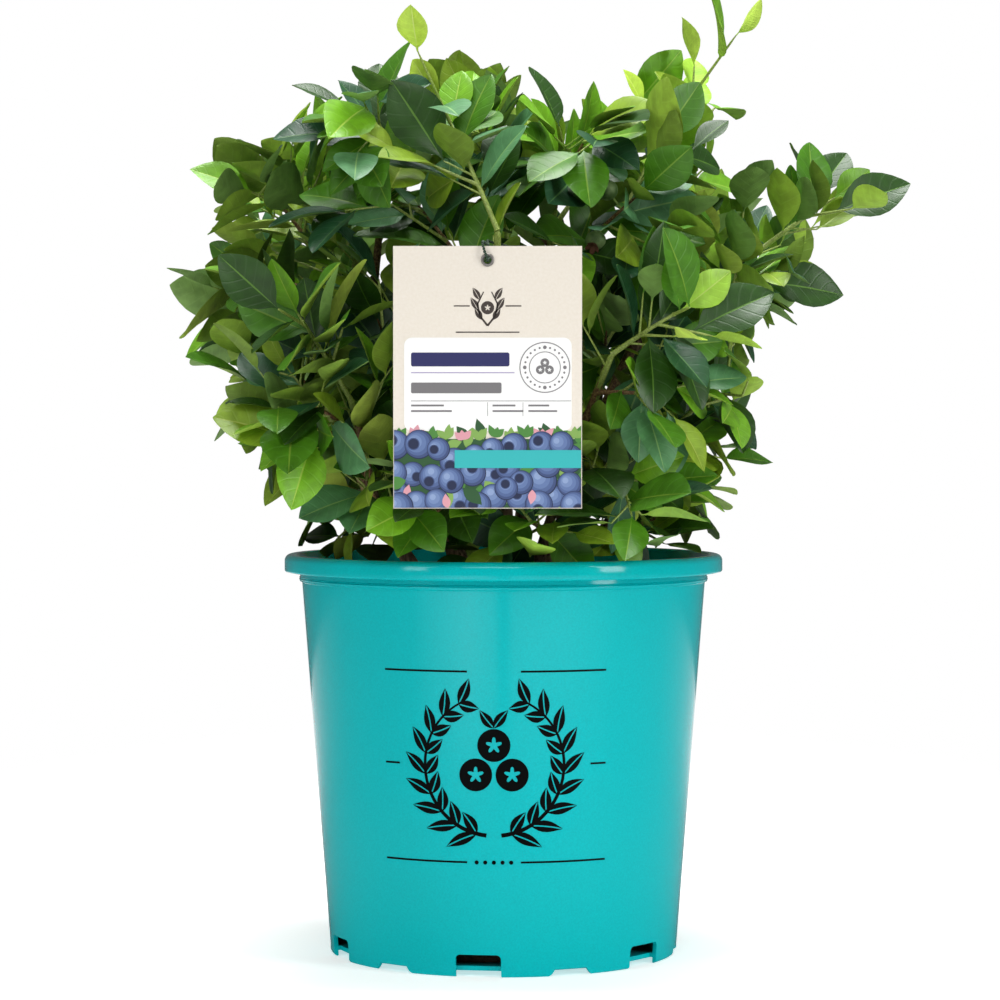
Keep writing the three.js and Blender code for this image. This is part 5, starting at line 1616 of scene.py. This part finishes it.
def within_reach(points):
    """Whether some earlier leaf reaches as far as each point, and the point is in the crown."""
    ways, far = spokes(points)
    alike = ways @ CROWN_WAYS.T > SAME_WAY
    reach = np.where(alike, CROWN_REACH, 0).max(axis=1)
    return in_the_crown(points) and np.all(far <= OUTGROWS * reach)


print(sum(len(leaves) for leaves in leaves_of.values()), "leaves set the outline")

# %% [markdown]
# ## Finer twigs
#
# The solids stop at side twigs, because they may have only so many faces. The bush itself goes
# on: each twig bears short shoots with leaves of their own, more leaves stand between the first
# ones, and leafy shoots on the stems and boughs fill the inside of the crown. They grow by the
# same rule and are tested for room like the rest, only with less of it.

# %% Short shoots and their leaves
FINE_TRIES, FINE_RADIUS, FINE_ANGLE, FINE_ROOM = 4, 0.6, 50, 0.4
FINE_TWIGS, FINE_LENGTH, FINE_LEAVES, FINE_SIZE = 3, (16, 32), 3, 1.05
FINE_FROM, FINE_TO = 0.2, 0.9
YOUNG_FROM, YOUNG_TO = 0.5, 0.6  # above this youth, only a leader bears shoots, up to here
FINE_FACING = (0.3, 0.85, 0.45)  # leaves inside the crown lie more level
FILL_TRIES, FILL_SIZE = 3, 1.0
INNER_SHOOTS, INNER_LENGTH, INNER_LEAVES, INNER_SIZE = 5, (26, 46), 4, 44
INNER_FROM, INNER_TO = 0.35, 0.95
# a shoot's number sets its draws; the leaves that stand between others draw as those of order 80
FIRST_SHOOT, SHOOTS_A_TWIG, FILL_ORDER = 20, 10, 80
SHARE_DRAWS, LENGTH_DRAWS, TURN_DRAWS = 7000, 7100, 7200


def fine_leaf_stands(leaf, group, twig_name):
    taken = leaf_room(leaf, "leaf of " + group)
    if not in_the_open(taken["points"]) or not within_reach(taken["points"]):
        return False
    if not standing.has_room(taken, FINE_ROOM, (twig_name,)):
        return False
    standing.add(taken)
    return True


def grow_leaves(twig, group, order, seed, first, last, size):
    """Leaves of a twig by the rule, from the one numbered first to the one numbered last."""
    for i in range(first, last + 1):
        for attempt in range(FILL_TRIES):
            leaf = twig_leaf(twig, order, seed, i, attempt, size, 0, last, FINE_FACING)
            if fine_leaf_stands(leaf, group, twig["name"]):
                leaf.update(spray=(group, order))
                leaves_of[group].append(leaf)
                break


def grow_shoot(twig, group, number, step, seed, share, length, leaves, size):
    """A leafy shoot, at the first of a few turns round its twig where it has room."""
    start_turn = 2 * math.pi * chance(seed, TURN_DRAWS + number)
    for attempt in range(FINE_TRIES):
        turn = start_turn + math.radians(GOLDEN_ANGLE) * (step + attempt)
        fine = side_twig(twig, share, turn, length, FINE_ANGLE, FINE_RADIUS)
        fine["name"] = f"{group}/fine/{number}"
        taken = room_along(fine, 0.2, 1, 2, fine["name"])
        if not in_the_open(taken["points"]) or not within_reach(taken["points"]):
            continue
        if standing.has_room(taken, FINE_ROOM, (twig["name"],)):
            standing.add(taken)
            fine_of[group].append(fine)
            grow_leaves(fine, group, number, seed, 0, leaves, size)
            return


def grow_shoots(twig, group, order, seed, count, between, lengths, leaves, size):
    """Shoots at even steps along a twig, between two shares of its length."""
    for step in range(count):
        number = SHOOTS_A_TWIG * order + step + FIRST_SHOOT
        share = mix(*between, (step + chance(seed, SHARE_DRAWS + number)) / count)
        length = mix(*lengths, chance(seed, LENGTH_DRAWS + number))
        grow_shoot(twig, group, number, step, seed, share, length, leaves, size)


fine_of = {mass: [] for mass in MASSES}
for seed, mass in enumerate(MASSES, 1):
    size, young = MASSES[mass][4:]
    is_young = young > YOUNG_FROM
    between = (FINE_FROM, YOUNG_TO if is_young else FINE_TO)
    bearing = twigs_of[mass][:1] if is_young else twigs_of[mass]
    for order, twig in enumerate(bearing):
        extent = (between, FINE_LENGTH, FINE_LEAVES, size * FINE_SIZE)
        grow_shoots(twig, mass, order, seed, FINE_TWIGS, *extent)
    for order, twig in enumerate(bearing):
        count = 2 * leaf_count(twig)
        first = count // 2 if is_young else 1
        grow_leaves(twig, mass, order + FILL_ORDER, seed, first, count, size * FILL_SIZE)
for seed, (name, limb) in enumerate(limbs.items(), len(MASSES) + 1):
    limb["name"] = name
    fine_of[name], leaves_of[name] = [], []
    extent = ((INNER_FROM, INNER_TO), INNER_LENGTH, INNER_LEAVES, INNER_SIZE)
    grow_shoots(limb, name, 0, seed, INNER_SHOOTS, *extent)
print(sum(len(fine) for fine in fine_of.values()), "short shoots")
print(sum(len(leaves) for leaves in leaves_of.values()), "leaves in all")

# %% [markdown]
# ## Twigs as tubes
#
# A twig needs few faces: eight sides and a ring every few millimetres, thinner towards its tip,
# swollen a little where it begins. It ends at its last leaf, fork or berry, and one that bears
# none is left out, so no bare stick shows at the edge of the crown. All the twigs of one age are
# joined into one piece, because hundreds of small objects are slow to load.

# %% The twigs
LEADER_LOOK, SIDE_LOOK, FINE_LOOK = (1.5, 0.7), (0.95, 0.55), (0.65, 0.4)
TWIG_LOOK_SIDES, TWIG_RINGS, PAST_LAST = 8, 9, 0.02
SWOLLEN, THINNED, YOUNG_LEADER = 1.3, 0.6, 0.5  # leaders of masses from this youth on are green
wood, shoots = [], []
ends = {}  # how far along each twig something grows


def note_ends(grown):
    for one in grown:
        ends[one["on"]] = max(ends.get(one["on"], 0), one["share"])


for group in leaves_of:
    note_ends(leaves_of[group])
    note_ends(fine for fine in fine_of[group] if fine["name"] in ends)
for mass in MASSES:
    note_ends(twig for twig in twigs_of[mass][1:] if twig["name"] in ends)
    note_ends({"on": twigs_of[mass][0]["name"], "share": share} for share in BERRIES.get(mass, ()))


def add_tube(store, limb, radii, bark):
    """Adds a twig's tube to a list of parts, if something grows on the twig."""
    if limb["name"] not in ends:
        return
    shares = np.linspace(0, min(1, ends[limb["name"]] + PAST_LAST), TWIG_RINGS)
    path = [point_on(limb, s) for s in shares]
    if "root" in limb:
        path = [limb["root"]] + path
        shares = np.concatenate([[0], shares])
    thick = np.array([mix(*radii, s) for s in shares])
    thick[0] *= SWOLLEN
    thick[-1] *= THINNED
    points, faces = tube(path, thick, TWIG_LOOK_SIDES)
    store.append((points, faces, [bark] * len(faces)))


for mass, row in MASSES.items():
    for order, twig in enumerate(twigs_of[mass]):
        if order == 0 and row[5] < YOUNG_LEADER:
            add_tube(wood, twig, LEADER_LOOK, 1)
        else:
            add_tube(shoots, twig, LEADER_LOOK if order == 0 else SIDE_LOOK, 2)
for fine in sum(fine_of.values(), []):
    add_tube(shoots, fine, FINE_LOOK, 2)
all_masses = ["leaves_" + mass for mass in MASSES]
for name, parts, masses in (("woody_twigs", wood, all_masses), ("green_twigs", shoots, [])):
    points, faces, which = joined(parts)
    piece(name, points, faces, BARKS, which, sharp=60, slot="green_bark", replaces=masses)
    print(name, "have", len(faces), "faces")

# %% [markdown]
# ## Leaf materials
#
# A blueberry leaf is smooth and thinly waxed. Wax over green scatters some blue, so grown leaves
# look blue-green where they catch the light, and their undersides are paler and dull. The
# youngest leaves are lime and let light through. Colour ramps by place would be lost when the
# looks are baked, so each spray gets one plain colour out of a small set. Two things vary inside
# a leaf: fine veins, which leave the midrib at regular steps, and a soft mottle.

# %% Leaf colours and veins
LEAF_COLOURS = {
    # upper side, underside, midrib
    "deep": ("#234A08", "#708E2A", "#56802A"),
    "dark_blue": ("#235130", "#6C9042", "#578349"),
    "mid": ("#487F14", "#88AA34", "#7AA232"),
    "blue": ("#558B5A", "#88AC5E", "#88B26E"),
    "bright": ("#74AE20", "#A0C440", "#A2C848"),
    "olive": ("#88A82A", "#A8BE4A", "#AEC254"),
    "young": ("#9CCA3E", "#B2D456", "#BEDA68"),
    "lime": ("#BEE04A", "#C8E45E", "#D4EA7C"),
}
VEIN_PAIRS = 7  # on each side of the midrib
VEIN_LEAN, VEIN_HALF = 1.3, 0.12  # how far they lean to the tip, and half a vein, in their steps
MOTTLE_GRAIN, MOTTLE_STOPS, MOTTLE_TONES = 7, (0.3, 0.7), (0.8, 1.18)
VEIN_PALER, VEIN_WHITER, SKIN_GRAIN = 1.25, 0.03, 0.8
UPPER_SIDE, UNDERSIDE = (0.42, 0.3, -1.6), (0.7, 0.25, 1.2)  # roughness, light veins, their relief
PALE_MASSES = [mass for mass, row in MASSES.items() if row[5] > 0.85]  # pale down to their feet


def leaf_surface(name, colour, roughness, vein_light, relief):
    """Leaf blade with veins: blade is (along, across, chance) and is kept at each corner."""
    shine = {"Roughness": roughness, "Specular_IOR_Level": 0.48}
    material, tree, shader = new_material(name, colour, **shine)
    blade = add_node(tree, "ShaderNodeAttribute", {"attribute_name": "blade"})
    parts = add_node(tree, "ShaderNodeSeparateXYZ", Vector=blade.outputs["Vector"])
    # a vein lies where the run along the blade, less the lean, is near a whole number
    across = add_node(tree, "ShaderNodeMath", {"operation": "ABSOLUTE"}, _0=parts.outputs["Y"])
    lean = add_node(tree, "ShaderNodeMath", times, _0=across.outputs[0], _1=VEIN_LEAN)
    run = add_node(tree, "ShaderNodeMath", times, _0=parts.outputs["X"], _1=VEIN_PAIRS)
    less = {"_0": run.outputs[0], "_1": lean.outputs[0]}
    ahead = add_node(tree, "ShaderNodeMath", {"operation": "SUBTRACT"}, **less)
    halfway = {"_0": ahead.outputs[0], "_1": 0.5}
    near = add_node(tree, "ShaderNodeMath", {"operation": "PINGPONG"}, **halfway)
    smooth = {"interpolation_type": "SMOOTHSTEP"}
    falls = {"From_Max": VEIN_HALF, "To_Min": 1.0, "To_Max": 0.0}
    vein = add_node(tree, "ShaderNodeMapRange", smooth, Value=near.outputs[0], **falls)
    place = add_node(tree, "ShaderNodeTexCoord").outputs["Object"]
    mottles = {"Vector": place, "Scale": 1 / (MOTTLE_GRAIN * MM), "Detail": 3.0}
    mottle = add_node(tree, "ShaderNodeTexNoise", **mottles)
    tone = add_node(tree, "ShaderNodeValToRGB", Fac=mottle.outputs["Fac"])
    base = np.array(linear(colour))[:3]
    for stop, position, share in zip(tone.color_ramp.elements, MOTTLE_STOPS, MOTTLE_TONES):
        stop.position, stop.color = position, (*np.minimum(1, base * share), 1)
    pale = (*np.minimum(1, base * VEIN_PALER + VEIN_WHITER), 1)
    share = add_node(tree, "ShaderNodeMath", times, _0=vein.outputs[0], _1=vein_light)
    both = {"_0": share.outputs[0], "_6": tone.outputs["Color"], "_7": pale}
    veined = add_node(tree, "ShaderNodeMix", {"data_type": "RGBA"}, **both)
    tree.links.new(veined.outputs[2], shader.inputs["Base Color"])
    skin = {"Vector": place, "Scale": 1 / (SKIN_GRAIN * MM), "Detail": 2.0}
    fine = add_node(tree, "ShaderNodeTexNoise", **skin)
    raised = {"_0": vein.outputs[0], "_1": relief, "_2": fine.outputs["Fac"]}
    height = add_node(tree, "ShaderNodeMath", {"operation": "MULTIPLY_ADD"}, **raised)
    depth = {"Strength": 0.22, "Distance": 0.25 * MM}
    bump = add_node(tree, "ShaderNodeBump", Height=height.outputs[0], **depth)
    tree.links.new(bump.outputs["Normal"], shader.inputs["Normal"])
    return material


leaf_materials, LEAF_NUMBER = [], {}
for name, (upper, under, rib) in LEAF_COLOURS.items():
    LEAF_NUMBER[name] = len(leaf_materials)
    leaf_materials.append(leaf_surface(f"waxed_leaf_{name}", upper, *UPPER_SIDE))
    leaf_materials.append(leaf_surface(f"leaf_underside_{name}", under, *UNDERSIDE))
    leaf_materials.append(new_material(f"leaf_midrib_{name}", rib, Roughness=0.5)[0])
print(len(leaf_materials), "leaf materials in", len(LEAF_COLOURS), "colours")

# %% [markdown]
# ## Leaf meshes
#
# Every leaf is a thin closed form of about 80 faces in its true outline: a short stalk, a blade
# that is widest near its middle, and a pointed tip. Two near rows along the middle make the
# midrib, sunk on top. Between them and the edge the blade is gently domed, and its edge waves.
# The underside has fewer faces. The corners of each leaf are worked out all at once.

# %% The blades
ROWS = np.array([0.0, 0.045, 0.09, 0.17, 0.27, 0.38, 0.5, 0.62, 0.73, 0.83, 0.92, 0.975, 1.0])
TOP_SIDES = np.array([-1.0, -0.52, -0.035, 0.035, 0.52, 1.0])
STALK_SHARE, STALK_HALF = 0.07, 0.55
BROADER, BLUNTNESS = 1.15, 0.8
BLADE_THICK, RIB_SINK, DOME, EDGE_WAVE, WAVES = 0.35, 0.28, 0.16, 0.012, 9
BLADE_VARIES, BLADE_TWISTS, NARROWEST = (0.9, 1.15), 0.16, 0.12


def leaf_points(leaf, seed):
    """Corners of one leaf: rows of six on top, then one row of midrib corners beneath."""
    draw = np.random.default_rng(seed)
    shape, twist = draw.uniform(*BLADE_VARIES), draw.normal(0, BLADE_TWISTS)
    phase = draw.uniform(0, 6.28)
    half = leaf["length"] * LEAF_WIDTH * 0.5 * BROADER
    blade = np.clip((ROWS - STALK_SHARE) / (1 - STALK_SHARE), 0, 1)
    wide = half * np.sin(np.pi * blade**shape) ** BLUNTNESS
    wide = np.maximum(wide, np.where(ROWS < 0.15, STALK_HALF, NARROWEST))
    share, side = np.meshgrid(ROWS, TOP_SIDES, indexing="ij")
    reach = wide[:, None] * side
    lift = np.abs(reach) * LEAF_FOLD * 1.1
    lift += DOME * half * np.sin(np.pi * np.abs(side)) * (wide / half)[:, None] * 0.5
    lift -= leaf["droop"] * share**2 * leaf["length"]
    wave = np.sin(WAVES * share + phase + 1.3 * np.sign(side))
    lift += EDGE_WAVE * leaf["length"] * wave * side**2 * (blade > 0)[:, None]
    lift += np.tan(twist * share) * reach
    lift -= np.where(np.abs(side) < 0.1, RIB_SINK, 0) * (wide > 2)[:, None]
    across = np.cross(leaf["way"], leaf["face"])
    along = share * leaf["length"]
    top = leaf["root"] + along[..., None] * leaf["way"] + reach[..., None] * across
    top = top + lift[..., None] * leaf["face"]
    rib_lift = lift[:, 2:4].mean(axis=1) - BLADE_THICK - 0.5 * (wide > 2) * (1 - ROWS)
    under = leaf["root"] + (ROWS * leaf["length"])[:, None] * leaf["way"]
    under = under + rib_lift[:, None] * leaf["face"]
    return np.concatenate([top.reshape(-1, 3), under])


COLUMNS = len(TOP_SIDES)
TOP_COUNT = len(ROWS) * COLUMNS
BLADE_FACES, BLADE_PARTS = [], []
for i in range(len(ROWS) - 1):
    for k in range(COLUMNS - 1):
        a = i * COLUMNS + k
        BLADE_FACES.append((a, a + 1, a + 1 + COLUMNS, a + COLUMNS))
        BLADE_PARTS.append(2 if k == 2 else 0)
    low, high = TOP_COUNT + i, TOP_COUNT + i + 1
    left, right = i * COLUMNS, (i + 1) * COLUMNS - 1
    BLADE_FACES.append((left, left + COLUMNS, high, low))
    BLADE_FACES.append((low, high, right + COLUMNS, right))
    BLADE_PARTS += [1, 1]
end = (len(ROWS) - 1) * COLUMNS
BLADE_FACES.append((*range(0, COLUMNS), TOP_COUNT)[::-1])
BLADE_FACES.append((*range(end, end + COLUMNS), TOP_COUNT + len(ROWS) - 1))
BLADE_PARTS += [1, 1]
BLADE_PLACE = [(s, v) for s in ROWS for v in TOP_SIDES] + [(s, 0.0) for s in ROWS]


# the colours of leaves above a youth, the youngest first, and of the grown leaves of pale masses
YOUTH_COLOURS = {
    0.7: ("lime", "lime", "lime", "lime", "young"),
    0.45: ("lime", "young", "bright", "bright"),
    0.2: ("bright", "bright", "mid", "olive"),
}
PALE_COLOURS = ("young", "bright", "olive", "bright")
# all other leaves: each colour is picked up to a share of the chance of the leaf's spray
GROWN_COLOURS = {"deep": 0.22, "dark_blue": 0.39, "mid": 0.6, "blue": 0.71, "bright": 0.86, "olive": 1}
SPRAY_DRAWS, COLOUR_DRAW, OWN_DRAW, STRAYS = 9000, 32, 33, 0.35


def leaf_colour(leaf, seed):
    """The colour of a leaf: by its youth, its spray, and now and then by its own chance."""
    own = chance(seed, COLOUR_DRAW)
    for youth, colours in YOUTH_COLOURS.items():
        if leaf["youth"] > youth:
            return colours[int(own * len(colours))]
    if leaf["spray"][0] in PALE_MASSES:
        return PALE_COLOURS[int(own * len(PALE_COLOURS))]
    pick = (leaf["spray_chance"] + STRAYS * (own - 0.5)) % 1
    return next(colour for colour, limit in GROWN_COLOURS.items() if pick < limit)


def leaf_piece(name, leaves, slot, masses):
    """Joins leaves into one piece, which keeps for each corner its place on the blade."""
    parts, places = [], []
    for leaf in leaves:
        first = LEAF_NUMBER[leaf["colour"]]
        which = [first + part for part in BLADE_PARTS]
        parts.append((leaf_points(leaf, leaf["number"]), BLADE_FACES, which))
        places += [(s, v, leaf["own"]) for s, v in BLADE_PLACE]
    points, faces, which = joined(parts)
    made = piece(name, points, faces, leaf_materials, which, 55, slot, masses)
    blade = made.data.attributes.new("blade", "FLOAT_VECTOR", "POINT")
    blade.data.foreach_set("vector", np.array(places, np.float32).ravel())
    return made


REGIONS = {"left": [], "right": [], "top": [], "back": []}


def region_of(group):
    tip = MASSES[group][2] if group in MASSES else limbs[group]["line"][2]
    if "back" in group:
        return "back"
    if "top" in group or group == "front_shoot":
        return "top"
    return "left" if tip[0] < 0 else "right"


young_leaves, number = [], 0
for place, (group, leaves) in enumerate(leaves_of.items(), 1):
    for leaf in leaves:
        number += 1
        leaf["spray_chance"] = chance(place, SPRAY_DRAWS + leaf["spray"][1])
        leaf["number"], leaf["own"] = number, chance(number, OWN_DRAW)
        leaf["colour"] = leaf_colour(leaf, number)
        if leaf["colour"] in ("young", "lime"):
            young_leaves.append(leaf)
        else:
            REGIONS[region_of(group)].append(leaf)
faces_made = 0
for region, leaves in REGIONS.items():
    masses = ["leaves_" + mass for mass in MASSES if region_of(mass) == region]
    faces_made += len(leaf_piece(f"leaves_on_the_{region}", leaves, "leaf", masses).data.polygons)
faces_made += len(leaf_piece("youngest_leaves", young_leaves, "young_leaf", []).data.polygons)
print(number, "leaves with", faces_made, "faces")

# %% [markdown]
# ## Unripe berries
#
# A few berries hang on short stalks. They are still green, under a pale waxy bloom.
# Where the flower was, each carries its calyx: a ring of five brown teeth round a shallow dish.
# Stalk, berry and calyx are one turned form round the stalk's direction.

# %% The berries
BERRY_RADIUS, BERRY_STALK, BERRY_OPENS, BERRY_SIDES = 5.6, 7, 80, 30
BERRY_TURN = 9  # the turn round a twig, in radians, of a berry at its tip
DISH_RADIUS, TOOTH_LENGTH, TEETH = 2.3, 1.9, 5
made = new_material("bloomed_unripe_berry", "#5F7F44", Roughness=0.5, Specular_IOR_Level=0.4)
skin = cloudy(made, 5, 3, ("#4B6A36", "#87A268"))
calyx, _, _ = new_material("dry_brown_calyx", "#6B4630", Roughness=0.8)
stalk_skin, _, _ = new_material("berry_stalk", "#8AA650", Roughness=0.55)


def berry(root, way):
    """Points, faces and materials of a berry whose stalk leaves root in a direction."""
    side, other = square_to(way)
    middle = BERRY_STALK + BERRY_RADIUS
    rows = [(0.75, 0, 2), (0.55, BERRY_STALK * 0.5, 2), (0.6, BERRY_STALK + 0.2, 2)]
    for turn in np.radians(np.linspace(168, 26, 12)):
        rows.append((BERRY_RADIUS * math.sin(turn), middle + 0.94 * BERRY_RADIUS * math.cos(turn), 0))
    top, toothed = rows[-1][1], (len(rows), len(rows) + 1)
    rows += [(DISH_RADIUS + 0.5, top + 0.5, 1), (DISH_RADIUS, top + 0.4, 1), (0.4, top - 1.2, 1)]
    turns = 2 * math.pi * np.arange(BERRY_SIDES) / BERRY_SIDES
    points = []
    for number, (radius, along, _) in enumerate(rows):
        height = TOOTH_LENGTH if number in toothed else 0
        for t, rise in zip(turns, height * np.abs(np.cos(TEETH * turns / 2))):
            out = (side * math.cos(t) + other * math.sin(t)) * (radius + 0.6 * rise)
            points.append(root + way * (along + rise) + out)
    faces = grid_faces(len(rows), BERRY_SIDES, closed=True)
    which = [rows[i + 1][2] for i in range(len(rows) - 1) for _ in range(BERRY_SIDES)]
    last = (len(rows) - 1) * BERRY_SIDES
    faces += [tuple(range(BERRY_SIDES))[::-1], tuple(range(last, last + BERRY_SIDES))]
    return points, faces, which + [2, 1]


hanging = []
for mass, shares in BERRIES.items():
    leader = twigs_of[mass][0]
    for share in shares:
        way = leaving(way_along(leader, share), math.radians(BERRY_OPENS), share * BERRY_TURN)
        hanging.append(berry(point_on(leader, share), way))
points, faces, which = joined(hanging)
piece("unripe_berries", points, faces, [skin, calyx, stalk_skin], which, sharp=60, slot="young_leaf")
print(len(hanging), "berries hang in the crown")

# %% [markdown]
# ## The sizes, and the end
#
# The dressed bush has to fill the same box as its solids. The last line prints the box of the solids.

# %% Sizes and the last line
print("solids:", [[round(x, 4) for x in corner] for corner in cad_box])
